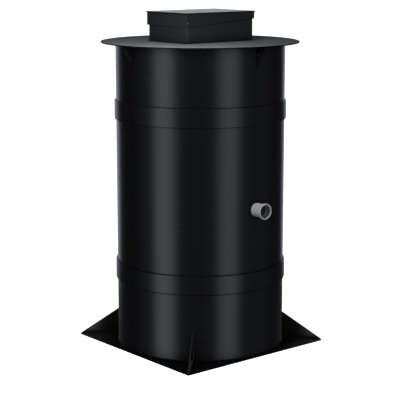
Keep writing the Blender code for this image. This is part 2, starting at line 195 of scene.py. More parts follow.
def new_group(name, inputs, outputs):
    """A shader node group with float or vector inputs, and its two end nodes."""
    group = bpy.data.node_groups.new(name, "ShaderNodeTree")
    for socket_name, value in inputs.items():
        kind = "NodeSocketVector" if isinstance(value, tuple) else "NodeSocketFloat"
        group.interface.new_socket(socket_name, in_out="INPUT", socket_type=kind).default_value = value
    for socket_name in outputs:
        group.interface.new_socket(socket_name, in_out="OUTPUT", socket_type="NodeSocketFloat")
    return group, group.nodes.new("NodeGroupInput").outputs, group.nodes.new("NodeGroupOutput").inputs


print("shader helpers ready")

# %% [markdown]
# ## The grain of extruded sheet
#
# Plastic sheet is pulled out of a slot and runs between rollers. That leaves three marks of very
# different size: a fine grain under a millimetre, faint streaks that run the way the sheet was pulled,
# and slow waves a hand wide. An image texture could hold them, but it would have to be unwrapped round
# the wall and would blur up close. Noise in the object's own coordinates has no seam and stays sharp. The
# group returns a height in metres for a Bump node and a small shift of the roughness, since streaks also
# change the gloss.

# %% Group: extruded grain
UPRIGHT_STREAKS = (260.0, 260.0, 2.5)     # the noise is squeezed along x and y and drawn out along z
LEVEL_STREAKS = (260.0, 2.5, 260.0)
FINE_GRAIN, STREAKS, WAVES = (700.0, 2.0), (1.0, 3.0), (3.5, 1.0)     # scale and detail of each noise
GLOSS_PATCHES = (9.0, 4.0)


def make_grain_group():
    inputs = {"Fine Height": 0.000004, "Streak Height": 0.000006, "Wave Height": 0.0002,
              "Streak Scale": UPRIGHT_STREAKS, "Gloss Spread": 0.03}
    group, given, result = new_group("extruded_grain", inputs, ["Height", "Gloss Shift"])
    where = coordinates(group)
    stretched = add_node(group, "ShaderNodeVectorMath", {"operation": "MULTIPLY"})
    feed(group, stretched.inputs[0], where)
    feed(group, stretched.inputs[1], given["Streak Scale"])
    streaks = noise_pattern(group, stretched.outputs[0], *STREAKS)
    patterns = {"Fine Height": noise_pattern(group, where, *FINE_GRAIN), "Streak Height": streaks,
                "Wave Height": noise_pattern(group, where, *WAVES)}
    heights = [multiply(group, pattern, given[size]) for size, pattern in patterns.items()]
    feed(group, result["Height"], add_up(group, *heights))
    patches = noise_pattern(group, where, *GLOSS_PATCHES)
    centred = math_node(group, "SUBTRACT", add_up(group, streaks, patches), 1.0)
    feed(group, result["Gloss Shift"], multiply(group, centred, given["Gloss Spread"]))
    return group


grain_group = make_grain_group()
print("group", grain_group.name, "with", len(grain_group.nodes), "nodes")

# %% [markdown]
# ## Rubbed edges
#
# Where a sheet is sawn and its edge rounded off, black plastic turns a little grey and dull. Painting
# that by hand would take a mask for each piece. Instead each sheet's mesh carries one number at every
# point, called wear, which is 1 on its rounded edges and 0 on its faces. The group reads that number and
# breaks it up with noise, because an even line of wear looks drawn.

# %% Group: rubbed edges
PATCH_DETAIL = 5.0
PATCH_SPAN = (0.38, 0.62, 0.35, 1.0)      # noise from and to, and the share of rubbing that it becomes


def make_edge_group():
    group, given, result = new_group("rubbed_edges", {"Amount": 0.15, "Patch Scale": 45.0}, ["Mask"])
    wear = add_node(group, "ShaderNodeAttribute", {"attribute_name": "wear"}).outputs["Fac"]
    patches = noise_pattern(group, coordinates(group), given["Patch Scale"], PATCH_DETAIL)
    rubbed = smooth_range(group, patches, *PATCH_SPAN)
    feed(group, result["Mask"], multiply(group, wear, rubbed, given["Amount"]))
    return group


edge_group = make_edge_group()
print("group", edge_group.name, "with", len(edge_group.nodes), "nodes")

# %% [markdown]
# ## Dust and a painted sheen
#
# Dust settles on faces that look up. A pale painted sheen, which stands in for light reflected from the
# floor, lies low down on two of the base plate's corners and on the gussets that stand there. The dust
# follows the surface's direction. The sheen follows the diagonal through those two corners, from near
# the wall outwards, and thins with height. Both read the object's own directions, so the dust stays on
# the lid when the lid swings open.

# %% Group: settled dust and painted sheen
LOOKS_UP = (0.55, 0.98)           # the upward share where a face starts to catch dust, and catches it fully
HALF_ROOT = 0.7071                # half the root of 2 turns x + y into metres along the diagonal
SHEEN_END = 1.00                   # metres along the diagonal where the painted sheen is full
SHEEN_RISE = 0.05                  # metres over which the painted sheen sets in above its start
CLOUDS, SPECKS = (7.0, 6.0), (160.0, 3.0)     # scale and detail of each noise
CLOUD_SPAN, SPECK_SPAN = (0.30, 0.70, 0.80, 1.0), (0.35, 0.65, 0.75, 1.0)


def make_dust_and_sheen_group():
    inputs = {"On Top": 0.10, "At Foot": 0.065, "Foot Height": 0.16, "Foot Start": -0.05, "Foot Out": 0.74}
    group, given, result = new_group("settled_dust", inputs, ["Mask"])
    place = coordinates(group)
    facing = add_node(group, "ShaderNodeSeparateXYZ", Vector=coordinates(group, "Normal")).outputs["Z"]
    on_top = multiply(group, smooth_range(group, facing, *LOOKS_UP), given["On Top"])
    x, y, z = add_node(group, "ShaderNodeSeparateXYZ", Vector=place).outputs
    along_diagonal = multiply(group, math_node(group, "ABSOLUTE", add_up(group, x, y)), HALF_ROOT)
    # painted sheen: paler low down on two corners, standing in for light reflected from the floor
    far_out = smooth_range(group, along_diagonal, given["Foot Out"], SHEEN_END)
    low_down = smooth_range(group, math_node(group, "DIVIDE", z, given["Foot Height"]), 0.0, 1.0, 1.0, 0.0)
    start = given["Foot Start"]
    risen = smooth_range(group, z, start, add_up(group, start, SHEEN_RISE))
    painted_foot_sheen = multiply(group, far_out, low_down, given["At Foot"], risen)
    clouds = smooth_range(group, noise_pattern(group, place, *CLOUDS), *CLOUD_SPAN)
    specks = smooth_range(group, noise_pattern(group, place, *SPECKS), *SPECK_SPAN)
    dust_and_sheen_share = math_node(group, "MAXIMUM", on_top, painted_foot_sheen)
    feed(group, result["Mask"], multiply(group, dust_and_sheen_share, multiply(group, clouds, specks)))
    return group


dust_and_sheen_group = make_dust_and_sheen_group()
print("group", dust_and_sheen_group.name, "with", len(dust_and_sheen_group.nodes), "nodes")

# %% [markdown]
# ## Scuffs
#
# A tank this size is rolled, slung and set down, so its skin has a few fine scuffs. Noise that is pulled
# out long in one direction and then cut off high gives thin broken lines; two of them, turned against
# each other, avoid the look of combed hair.

# %% Group: light scuffs
THREAD_SPACES = (((0.3, 0.5, 0.9), (1.0, 1.0, 26.0)),      # turned in radians, and squeezed along each axis
                 ((0.9, 0.2, 0.4), (22.0, 1.0, 22.0)))
THREAD_DETAIL = 2.0
THREAD_CUT = (0.70, 0.74)         # only the noise above this shows
SCUFFED_PLACES, SCUFFED_SPAN = (2.0, 2.0), (0.45, 0.62)


def make_scuff_group():
    group, given, result = new_group("light_scuffs", {"Amount": 0.25, "Scale": 6.0}, ["Mask"])
    where = coordinates(group)
    lines = []
    for turn, squeeze in THREAD_SPACES:
        turned_space = add_node(group, "ShaderNodeMapping", Vector=where, Rotation=turn, Scale=squeeze)
        threads = noise_pattern(group, turned_space.outputs[0], given["Scale"], THREAD_DETAIL)
        lines.append(smooth_range(group, threads, *THREAD_CUT))
    places = smooth_range(group, noise_pattern(group, where, *SCUFFED_PLACES), *SCUFFED_SPAN)
    both = math_node(group, "MAXIMUM", *lines)
    feed(group, result["Mask"], multiply(group, both, places, given["Amount"]))
    return group


scuff_group = make_scuff_group()
print("group", scuff_group.name, "with", len(scuff_group.nodes), "nodes")

# %% [markdown]
# ## Black polypropylene
#
# The plastic is almost black all through, and nearly all that is seen of it is reflection: broad soft
# lights on the round wall, a pale sheen on faces seen at a low angle. So the roughness decides the look,
# and the colour only how deep the dark parts are. The same shader makes the upright sheets, the flat ones
# and the weld beads. They differ in the way their streaks run, in gloss, and in how much dust lies on
# them. The top plate and the base plate are so dull that they have no gloss at all.
#
# Some pieces are left out of mirror images further on, so a glossy corner beside them would shine as if
# nothing stood there. An Ambient Occlusion node measures how open each place is, and colour and gloss
# both fade where it is closed in: this is painted shade, in corners, under the top plate and round the
# pipe. The brackets get a short reach, or they would darken all over, and the gussets a long one, which
# paints them dark near the wall and lighter further out. The glossier weld beads get no such shading.

# %% Shader: black polypropylene
BLACK = (0.0, 0.0, 0.0, 1.0)
RUBBED_BLACK = (0.020, 0.020, 0.021, 1.0)
# the grey of settled dust, used also for the painted sheen low on two corners
DUST_AND_SHEEN_COLOUR = (0.285, 0.285, 0.285, 1.0)
PLASTIC_IOR = 1.49
CORNER_REACH = 0.12               # metres
CORNER_SHADE = 0.45               # what is left of light and gloss deep in a corner
CORNER_SPAN = (0.35, 0.95)        # openness deep in a corner, and out in the open
CORNER_RAYS = 8                   # rays that measure the openness of a point
RUBBING_DULLS, DUST_AND_SHEEN_DULLS = 0.25, 1.2     # added to the roughness where rubbing is full, and where dust and painted sheen are full


def new_material(name):
    """A material with its node tree and its Principled shader."""
    material = bpy.data.materials.new(name)
    material.use_nodes = True
    return material, material.node_tree, material.node_tree.nodes["Principled BSDF"]


def use_group(tree, group, **inputs):
    node = add_node(tree, "ShaderNodeGroup", {"node_tree": group})
    for name, value in inputs.items():
        feed(tree, node.inputs[name.replace("_", " ")], value)
    return node.outputs


def set_plastic(tree, shader, colour, roughness, height):
    """Connect the inputs that every plastic here has."""
    bump = add_node(tree, "ShaderNodeBump", Height=height, Distance=1.0, Strength=1.0)
    feed(tree, shader.inputs["Base Color"], colour)
    feed(tree, shader.inputs["Roughness"], roughness)
    feed(tree, shader.inputs["Normal"], bump.outputs["Normal"])
    shader.inputs["IOR"].default_value = PLASTIC_IOR


def black_polypropylene(name, black, roughness, streak_scale, heights, dust_on_top, scuffs, shine=0.5,
                        rubbing=0.15, corner_reach=CORNER_REACH, corner_shade=CORNER_SHADE, **foot_sheen_inputs):
    """The heights are those of the fine grain, the streaks and the waves, in metres."""
    material, tree, shader = new_material(name)
    fine, streak, wave = heights
    grain = use_group(tree, grain_group, Fine_Height=fine, Streak_Height=streak, Wave_Height=wave,
                      Streak_Scale=streak_scale)
    rubbed = use_group(tree, edge_group, Amount=rubbing)["Mask"]
    scuffed = use_group(tree, scuff_group, Amount=scuffs)["Mask"]
    dust_and_sheen = use_group(tree, dust_and_sheen_group, On_Top=dust_on_top, **foot_sheen_inputs)["Mask"]
    pale = math_node(tree, "MAXIMUM", rubbed, scuffed)
    colour = blend_colours(tree, pale, black, RUBBED_BLACK)
    # dust on faces that look up, and painted sheen low down on two corners
    colour = blend_colours(tree, dust_and_sheen, colour, DUST_AND_SHEEN_COLOUR)
    # painted shade: colour darkens towards black and gloss drops where a corner is closed in
    corner = add_node(tree, "ShaderNodeAmbientOcclusion", {"samples": CORNER_RAYS}, Distance=corner_reach)
    openness = smooth_range(tree, corner.outputs["AO"], *CORNER_SPAN, corner_shade, 1.0)
    colour = blend_colours(tree, openness, BLACK, colour)
    dullness = add_up(tree, grain["Gloss Shift"], roughness, multiply(tree, pale, RUBBING_DULLS),
                      multiply(tree, dust_and_sheen, DUST_AND_SHEEN_DULLS))
    set_plastic(tree, shader, colour, dullness, grain["Height"])
    feed(tree, shader.inputs["Specular IOR Level"], multiply(tree, openness, shine))
    return material


print("black shader ready, with corners dark over", CORNER_REACH, "m")

# %% [markdown]
# ## The black finishes
#
# A single black for the whole tank would look like one moulding. Real sheets come from different batches,
# and each has its own place: upright or level, sheltered or open to dust. So each kind of piece gets a
# finish of its own. Copies of one material, changed by hand, would soon drift apart. Here each finish is
# one call of the same shader, and the call holds all that differs.

# %% Materials: black sheet and weld
WALL_BLACK = (0.0003, 0.0003, 0.0003, 1.0)
HATCH_BLACK = (0.0032, 0.0033, 0.0034, 1.0)   # a slightly greyer sheet
BRACKET_BLACK = (0.0009, 0.0009, 0.0009, 1.0)
UPRIGHT_GRAIN = (0.000004, 0.000006, 0.0001)
LEVEL_GRAIN = (0.000004, 0.000005, 0.0001)
WELD_STREAKS = (40.0, 40.0, 40.0)     # the same along each axis: a bead has no streaks

wall_sheet = black_polypropylene("black_wall_sheet", WALL_BLACK, 0.27, UPRIGHT_STREAKS,
                                 (0.000003, 0.000003, 0.0002), dust_on_top=0.0, scuffs=0.25)
hatch_sheet = black_polypropylene("black_hatch_sheet", HATCH_BLACK, 0.30, UPRIGHT_STREAKS, UPRIGHT_GRAIN,
                                  dust_on_top=0.05, scuffs=0.20)
# painted shade darkens the gussets near the wall, and painted sheen pales their outer ends low down
gusset_sheet = black_polypropylene("black_gusset_sheet", WALL_BLACK, 0.27, UPRIGHT_STREAKS,
                                   (0.000004, 0.000006, 0.0002), dust_on_top=0.0, scuffs=0.25,
                                   corner_reach=0.30, corner_shade=0.25,
                                   At_Foot=0.33, Foot_Height=0.26, Foot_Start=0.02, Foot_Out=0.80)
# a short reach of painted shade: a dark line where the bracket meets the wall and the top plate
bracket_sheet = black_polypropylene("black_bracket_sheet", BRACKET_BLACK, 0.27, UPRIGHT_STREAKS,
                                    UPRIGHT_GRAIN, dust_on_top=0.0, scuffs=0.25,
                                    rubbing=0.03, corner_reach=0.03, corner_shade=0.60)
# a faint painted sheen lies on two of its corners
base_sheet = black_polypropylene("black_base_sheet", WALL_BLACK, 0.35, LEVEL_STREAKS, LEVEL_GRAIN,
                                 dust_on_top=0.01, scuffs=0.30, shine=0.0, At_Foot=0.06, Foot_Out=0.60)
fresh_weld = black_polypropylene("black_fresh_weld", WALL_BLACK, 0.30, WELD_STREAKS, (0.000002, 0.00002, 0.0),
                                 dust_on_top=0.0, scuffs=0.0, corner_shade=1.0)
flat_sheet = black_polypropylene("black_flat_sheet", WALL_BLACK, 0.28, LEVEL_STREAKS, LEVEL_GRAIN,
                                 dust_on_top=0.03, scuffs=0.30)
dusty_sheet = black_polypropylene("black_dusty_sheet", WALL_BLACK, 0.80, LEVEL_STREAKS, LEVEL_GRAIN,
                                  dust_on_top=0.262, scuffs=0.30, shine=0.0)
weld_plastic = black_polypropylene("black_weld_bead", WALL_BLACK, 0.60, WELD_STREAKS,
                                   (0.000002, 0.00004, 0.0), dust_on_top=0.0, scuffs=0.0, shine=0.2)
black_names = [material.name for material in bpy.data.materials if material.name.startswith("black_")]
print("black materials:", ", ".join(black_names))

# %% [markdown]
# ## Grey pipe and bare steel
#
# The drain pipe is a light grey extrusion, duller than the tank, with drawing lines along its length.
# Faces that look straight out of its mouth are painted paler: a painted highlight on the pipe's end. The
# screws and pins are plain steel, which needs little more than a metal with fine turned marks.

# %% Materials: grey pipe and steel
PIPE_GREY = (0.150, 0.154, 0.160, 1.0)
PIPE_GREY_STAINED = (0.122, 0.125, 0.130, 1.0)
PIPE_MOUTH_HIGHLIGHT = (0.340, 0.347, 0.358, 1.0)     # painted highlight on the faces that look out of the mouth
MOUTH_HIGHLIGHT_FACING = (0.5, 0.9)           # the outward share at which the painted highlight starts, and where it is full
PIPE_STREAKS = (8.0, 420.0, 420.0)        # drawn out along the pipe
STAINS, STAIN_SPAN = (38.0, 4.0), (0.35, 0.7)
PIPE_ROUGHNESS = 0.48
PIPE_DUST = 0.12
STEEL = (0.62, 0.62, 0.60, 1.0)
STEEL_DARK = (0.48, 0.48, 0.47, 1.0)
TURNED_MARKS = (900.0, 3.0)
STEEL_ROUGHNESS = (0.3, 0.7, 0.26, 0.42)      # noise from and to, and the roughness that it becomes


def grey_polypropylene():
    material, tree, shader = new_material("grey_drain_pipe")
    grain = use_group(tree, grain_group, Fine_Height=0.000004, Streak_Height=0.00001, Wave_Height=0.0,
                      Streak_Scale=PIPE_STREAKS)
    stains = smooth_range(tree, noise_pattern(tree, coordinates(tree), *STAINS), *STAIN_SPAN)
    colour = blend_colours(tree, stains, PIPE_GREY, PIPE_GREY_STAINED)
    # painted highlight: faces that look out of the pipe's mouth are paler
    outwards = add_node(tree, "ShaderNodeSeparateXYZ", Vector=coordinates(tree, "Normal")).outputs["X"]
    colour = blend_colours(tree, smooth_range(tree, outwards, *MOUTH_HIGHLIGHT_FACING), colour, PIPE_MOUTH_HIGHLIGHT)
    dust_and_sheen = use_group(tree, dust_and_sheen_group, On_Top=PIPE_DUST, At_Foot=0.0)["Mask"]
    colour = blend_colours(tree, dust_and_sheen, colour, DUST_AND_SHEEN_COLOUR)
    dullness = add_up(tree, grain["Gloss Shift"], PIPE_ROUGHNESS)
    set_plastic(tree, shader, colour, dullness, grain["Height"])
    return material


def stainless_steel():
    material, tree, shader = new_material("stainless_steel")
    marks = noise_pattern(tree, coordinates(tree), *TURNED_MARKS)
    feed(tree, shader.inputs["Roughness"], smooth_range(tree, marks, *STEEL_ROUGHNESS))
    feed(tree, shader.inputs["Base Color"], blend_colours(tree, marks, STEEL, STEEL_DARK))
    shader.inputs["Metallic"].default_value = 1.0
    return material


pipe_plastic = grey_polypropylene()
steel = stainless_steel()
print("other materials:", pipe_plastic.name, steel.name)

# %% [markdown]
# ## Outlines that know which way they face
#
# Sheet is cut to flat outlines, so an outline is the natural start of most pieces. Each of its points
# here also carries the direction in which the edge faces there. That small extra pays off twice: an
# outline can be moved in or out exactly, which gives evenly rounded edges, and the finished mesh can be
# told its true normals, so it shades like real sheet without thousands of faces.

# %% Outlines
CORNER_STEPS = 4
SIDE_SHARE = 0.49                 # an arc may take nearly half of each side beside its corner
TINY = 1e-6                       # metres


def rounded(corners, radius, steps=CORNER_STEPS):
    """A closed outline through anticlockwise corners; a corner (x, y, r) has a radius of its own."""
    outline = []
    for before, here, after in zip(corners[-1:] + corners[:-1], corners, corners[1:] + corners[:1]):
        spot = Vector(here[:2])
        come, leave = spot - Vector(before[:2]), Vector(after[:2]) - spot
        room = SIDE_SHARE * min(come.length, leave.length)
        come.normalize()
        leave.normalize()
        turn = math.atan2(come.cross(leave), come.dot(leave))
        lean = math.tan(abs(turn) / 2)
        arc_radius = here[2] if len(here) > 2 else min(radius, room / max(lean, TINY))
        side = math.copysign(1.0, turn)
        if arc_radius < TINY:
            outline.append((spot, Vector((come.y + leave.y, -come.x - leave.x)).normalized()))
            continue
        centre = spot - come * arc_radius * lean + Vector((-come.y, come.x)) * arc_radius * side
        first = math.atan2(-come.x, come.y)
        for step in range(steps + 1):
            angle = first + turn * step / steps
            facing = Vector((math.cos(angle), math.sin(angle)))
            outline.append((centre + facing * arc_radius * side, facing))
    return outline


def circle(radius, steps, centre=(0.0, 0.0)):
    angles = [math.tau * step / steps for step in range(steps)]
    facings = [Vector((math.cos(angle), math.sin(angle))) for angle in angles]
    return [(Vector(centre) + facing * radius, facing) for facing in facings]


def hole(outline):
    """The same outline as a hole: walked the other way, and facing into the opening."""
    return [(point, -facing) for point, facing in reversed(outline)]


print("a rounded square has", len(rounded([(0, 0), (1, 0), (1, 1), (0, 1)], 0.1)), "points")

# %% [markdown]
# ## From points to a finished piece
#
# One helper turns points, faces and directions into an object. Blender guesses smooth normals from the
# faces round each point, and on a big flat face beside a narrow rounded edge that guess is wrong: the
# whole face looks dished. Custom normals, one for each face corner, switch the guessing off.

# %% Build a mesh with exact normals
def make_piece(name, points, faces, facings=None, wear=None, flat=()):
    mesh = bpy.data.meshes.new(name)
    mesh.from_pydata(points, [], faces)
    mesh.update()
    mesh.shade_smooth()
    if facings:
        flat = set(flat)
        normals = []
        for polygon in mesh.polygons:
            for corner in polygon.vertices:
                normals.append(polygon.normal if polygon.index in flat else facings[corner])
        mesh.normals_split_custom_set(normals)
    if wear:
        mesh.attributes.new("wear", "FLOAT", "POINT").data.foreach_set("value", wear)
    piece = bpy.data.objects.new(name, mesh)
    bpy.context.collection.objects.link(piece)
    return piece


def hand_over(piece, material, body, slot, *nodes, mirrored=True):
    """Give a piece its finish and the body it moves with, and hide the plain solids it stands for."""
    piece.visible_glossy = mirrored
    piece.data.materials.clear()
    piece.data.materials.append(material)
    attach(piece, body)
    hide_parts(*nodes)
    return piece


def turned_frame(origin, along, up):
    """A place and a direction for flat work: along is its x, up its y, and its z is square to both."""
    across = Vector(along).cross(Vector(up))
    columns = Matrix((Vector(along), Vector(up), across)).transposed().to_4x4()
    return Matrix.Translation(origin) @ columns


print("mesh helpers ready")

# %% [markdown]
# ## Cut sheet
#
# A sheet with rounded edges could be a plain extrusion with a Bevel modifier. The modifier struggles
# where a face has holes, so the edge is built here instead: the outline is repeated up the thickness,
# pulled in along a quarter circle at the top and the bottom, and the two faces are filled with triangles
# round their holes.

# %% Cut a sheet
EDGE_STEPS = 3
WEAR_MARGIN = 0.003               # how far rubbing reaches in from a rounded edge
WEAR_AT_SIDE, WEAR_AT_FACE = 0.5, 0.6     # where the rounding meets the edge's flat middle, and the face


def edge_stations(thickness, edge, margin):
    """Up one edge of a sheet: how far in, how high, how much it faces up, and how worn it is."""
    half = thickness / 2
    lifts = [math.radians(90.0 * step / EDGE_STEPS) for step in range(EDGE_STEPS + 1)]
    wear = [WEAR_AT_SIDE] + [1.0] * (EDGE_STEPS - 1) + [WEAR_AT_FACE]
    upper = [(edge * (1 - math.cos(lift)), half - edge * (1 - math.sin(lift)), lift, worn)
             for lift, worn in zip(lifts, wear)]
    upper.append((edge + margin, half, math.radians(90.0), 0.0))
    lower = [(inset, -height, -lift, worn) for inset, height, lift, worn in reversed(upper)]
    return lower + upper


def cut_sheet(name, outlines, thickness, edge, placing, margin=WEAR_MARGIN):
    points, facings, wear, faces = [], [], [], []
    stations = edge_stations(thickness, edge, margin)
    turn = placing.to_3x3()
    for outline in outlines:
        for inset, height, lift, worn in stations:
            for point, facing in outline:
                flat_point = point - facing * inset
                direction = Vector((*(facing * math.cos(lift)), math.sin(lift)))
                points.append(placing @ Vector((*flat_point, height)))
                facings.append(turn @ direction)
                wear.append(worn)
    first = 0
    loops, upper_index, lower_index = [], [], []
    for outline in outlines:
        count = len(outline)
        for row in range(len(stations) - 1):
            below = first + row * count
            for step in range(count):
                beside = (step + 1) % count
                faces.append((below + step, below + beside, below + count + beside, below + count + step))
        last = first + (len(stations) - 1) * count
        inner = stations[-1][0]
        loops.append([Vector((*(point - facing * inner), 0.0)) for point, facing in outline])
        upper_index += range(last, last + count)
        lower_index += range(first, first + count)
        first = last + count
    rim = sum(loops, [])
    for a, b, c in tessellate_polygon(loops):
        if (rim[b] - rim[a]).cross(rim[c] - rim[a]).z < 0:
            b, c = c, b
        faces.append((upper_index[a], upper_index[b], upper_index[c]))
        faces.append((lower_index[a], lower_index[c], lower_index[b]))
    return make_piece(name, points, faces, facings, wear)


LEVEL = Matrix.Identity(4)


def level_at(height):
    return Matrix.Translation((0.0, 0.0, height))


def rectangle(x0, y0, x1, y1):
    return [(x0, y0), (x1, y0), (x1, y1), (x0, y1)]


print("a sheet's edge has", len(edge_stations(0.01, 0.001, WEAR_MARGIN)), "rows of points")

# %% [markdown]
# ## Base plate and gussets
#
# The tank stands on one square plate. Four upright triangles, the gussets, run out to its corners and
# keep the foot of the wall from tipping. Their corners were sawn, so they are only just rounded. A Mirror
# modifier could make four gussets from one, but they would then be a single piece, and the frame has
# four. So one outline is stood up and cut at each corner.

# %% Base plate and gussets
BASE_CORNER = 0.004
BASE_EDGE = 0.0006
GUSSET_THICKNESS = 0.012
GUSSET_NOSE = 0.006
GUSSET_CORNER = 0.002
GUSSET_EDGE = 0.0006
GUSSET_ANGLES = {"rear_right": 45.0, "rear_left": 135.0, "front_left": 225.0, "front_right": 315.0}

base_outline = rounded(rectangle(-base_half, -base_half, base_half, base_half), BASE_CORNER)
base_plate = cut_sheet("base_plate_sheet", [base_outline], base_top, BASE_EDGE, level_at(base_top / 2))
hand_over(base_plate, base_sheet, "tank", "black_polypropylene", "base_plate", mirrored=False)


def outward(angle):
    return Vector((math.cos(math.radians(angle)), math.sin(math.radians(angle)), 0.0))


UP = Vector((0.0, 0.0, 1.0))
gusset_low, gusset_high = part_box("gusset_front_right")
gusset_foot = gusset_low.z
gusset_height = gusset_high.z - gusset_foot
gusset_reach = math.hypot(gusset_high.x, gusset_low.y) - GUSSET_THICKNESS / 2
upright_start = wall_radius + SEAT_GAP      # where plates that stand on the wall begin
gusset_corners = [(upright_start, 0.0), (gusset_reach, 0.0), (gusset_reach, GUSSET_NOSE),
                  (upright_start, gusset_height)]
gusset_outline = rounded(gusset_corners, GUSSET_CORNER)
for corner, angle in GUSSET_ANGLES.items():
    placing = turned_frame((0.0, 0.0, gusset_foot), outward(angle), UP)
    gusset = cut_sheet(f"gusset_{corner}_sheet", [gusset_outline], GUSSET_THICKNESS, GUSSET_EDGE, placing)
    hand_over(gusset, gusset_sheet, "tank", "black_polypropylene", f"gusset_{corner}", mirrored=False)
print("base plate", round(2 * base_half, 3), "m square, gussets", round(gusset_height, 3), "m tall")

# %% [markdown]
# ## Turned rings
#
# Wall, bands, pipe, pins and screws are all round, so they share one tool: an outline in the plane of
# radius and height is carried round an axis. A Screw modifier does the same, but it can't carry the exact
# directions along. A point on the axis is shared by all the turns, so that a screw head closes in one
# point instead of a tiny hole.

# %% Turn an outline
FULL_TURN = 359.9                 # degrees; from here on the ring closes
SLANT_WEAR = 1.5                  # wear is greatest where the outline faces at a slant


def turned(name, outline, steps, placing=LEVEL, start=0.0, sweep=360.0, worn=True):
    turn = placing.to_3x3()
    closes = sweep > FULL_TURN
    stations = steps if closes else steps + 1
    points, facings, wear = [], [], []
    rows = [[] for _ in range(stations)]
    for point, facing in outline:
        on_axis = point.x < TINY
        for station in range(stations):
            if on_axis and station:
                rows[station].append(rows[0][-1])
                continue
            angle = math.radians(start + sweep * station / steps)
            across = Vector((math.cos(angle), math.sin(angle), 0.0))
            direction = UP * math.copysign(1.0, facing.y) if on_axis else across * facing.x + UP * facing.y
            rows[station].append(len(points))
            points.append(placing @ (across * point.x + UP * point.y))
            facings.append(turn @ direction)
            wear.append(min(1.0, SLANT_WEAR * min(abs(facing.x), abs(facing.y))))
    faces, flat = [], []
    for station in range(steps):
        near, far = rows[station], rows[(station + 1) % stations]
        for first in range(len(outline)):
            second = (first + 1) % len(outline)
            corners = list(dict.fromkeys((near[first], far[first], far[second], near[second])))
            if len(corners) > 2:
                faces.append(corners)
    if not closes:
        flat = [len(faces), len(faces) + 1]
        faces += [rows[0], rows[-1][::-1]]
    return make_piece(name, points, faces, facings, wear if worn else None, flat)


print("turning tool ready")

# %% [markdown]
# ## The round wall
#
# No sheet is wide enough for the whole wall, so it is made of three rings, and each ring of two bent
# sheets. The two upright seams stand over gussets, where the tank is stiffest. Each half ring here is a
# turned rectangle with a rounded rim.
#
# The middle ring has the hole for the drain pipe. It is cut with an exact Boolean, and then the cut ring
# is given its true directions again: the round faces look straight away from the axis, the rest as their
# faces lie.

# %% Wall rings
HALF_RING_STEPS = 120
PIPE_STEPS = 96
WALL_RIM = 0.001
PIPE_HOLE_RADIUS = 0.0555
HOLE_CUTTER_START, HOLE_CUTTER_END = 0.5, 0.9     # from the tank's axis, on both sides of the wall
ROUND_FACING = 0.98               # a face this square to the radius belongs to the round of the ring
SEAM_ANGLE = 45.0
seam_gap = math.degrees(SEAT_GAP / wall_radius)
half_starts = {"outlet_half": SEAM_ANGLE - 180.0, "blank_half": SEAM_ANGLE}


def half_ring(name, node, half, outer, thickness, rim):
    low, high = lowest(node).z, highest(node).z
    outline = rounded(rectangle(outer - thickness, low, outer, high), rim)
    start, sweep = half_starts[half] + seam_gap / 2, 180.0 - seam_gap
    return turned(name, outline, HALF_RING_STEPS, LEVEL, start, sweep)


def cut_away(piece, cutter):
    """Take the cutter's shape out of a piece, and remove the cutter."""
    modifier = piece.modifiers.new("cut", "BOOLEAN")
    modifier.object, modifier.operation, modifier.solver = cutter, "DIFFERENCE", "EXACT"
    bpy.context.view_layer.update()
    cut_mesh = bpy.data.meshes.new_from_object(piece.evaluated_get(bpy.context.evaluated_depsgraph_get()))
    piece.modifiers.remove(modifier)
    piece.data = cut_mesh
    bpy.data.objects.remove(cutter)


def restore_round_normals(piece):
    """Round faces of an upright ring look away from its axis or towards it."""
    mesh, normals = piece.data, []
    for polygon in mesh.polygons:
        for corner in polygon.vertices:
            place = mesh.vertices[corner].co
            away = Vector((place.x, place.y, 0.0)).normalized()
            lean = polygon.normal.dot(away)
            is_round = abs(lean) > ROUND_FACING
            normals.append(away * math.copysign(1.0, lean) if is_round else polygon.normal)
    mesh.normals_split_custom_set(normals)


rings = {}
for level in ("lower", "middle", "upper"):
    for half in half_starts:
        node = f"{level}_wall_{half}"
        rings[node] = half_ring(f"{node}_sheet", node, half, wall_radius, WALL_THICKNESS, WALL_RIM)
TOWARDS_OUTLET = turned_frame((0.0, 0.0, pipe_centre), (0.0, 1.0, 0.0), UP)
hole_corners = rectangle(0.0, HOLE_CUTTER_START, PIPE_HOLE_RADIUS, HOLE_CUTTER_END)
hole_outline = [(Vector(corner), Vector((1.0, 0.0))) for corner in hole_corners]
pierced = rings["middle_wall_outlet_half"]
cut_away(pierced, turned("outlet_hole_cutter", hole_outline, PIPE_STEPS, TOWARDS_OUTLET, worn=False))
restore_round_normals(pierced)
for node, ring in rings.items():
    hand_over(ring, wall_sheet, "tank", "black_polypropylene", node)
print("wall rings:", len(rings), "- faces of the pierced one:", len(pierced.data.polygons))

# %% [markdown]
# ## The two bands
#
# Where two rings of the wall meet, a wide band of thicker sheet is bent round them. A band is a short
# wall of its own, so the half ring that made the wall makes it too. Scaling up a copy of a wall ring
# would be quicker, but it would scale the rounding of its edges as well. Both edges are welded to the
# wall further on, and those dull beads and the wall beside them, darkened by painted corner shade, show as a
# thin dark line.

# %% Bands
BAND_RIM = 0.0005
for level in ("lower", "upper"):
    for half in half_starts:
        node = f"{level}_band_{half}"
        thickness = BAND_THICKNESS - SEAT_GAP
        band = half_ring(f"{node}_sheet", node, half, band_radius, thickness, BAND_RIM)
        hand_over(band, wall_sheet, "tank", "black_polypropylene", node)
print("bands stand", round(1000 * (band_radius - wall_radius), 1), "mm proud of the wall")

# %% [markdown]
# ## Top plate
#
# A round plate closes the tank and stands well out past the wall. It has the hatch opening in it, and
# near its rim two small holes beside each lifting bracket. Cutting nine openings with Booleans would
# leave long thin triangles, so the plate is cut sheet with many outlines: its rim, the hatch opening and
# the eight holes.

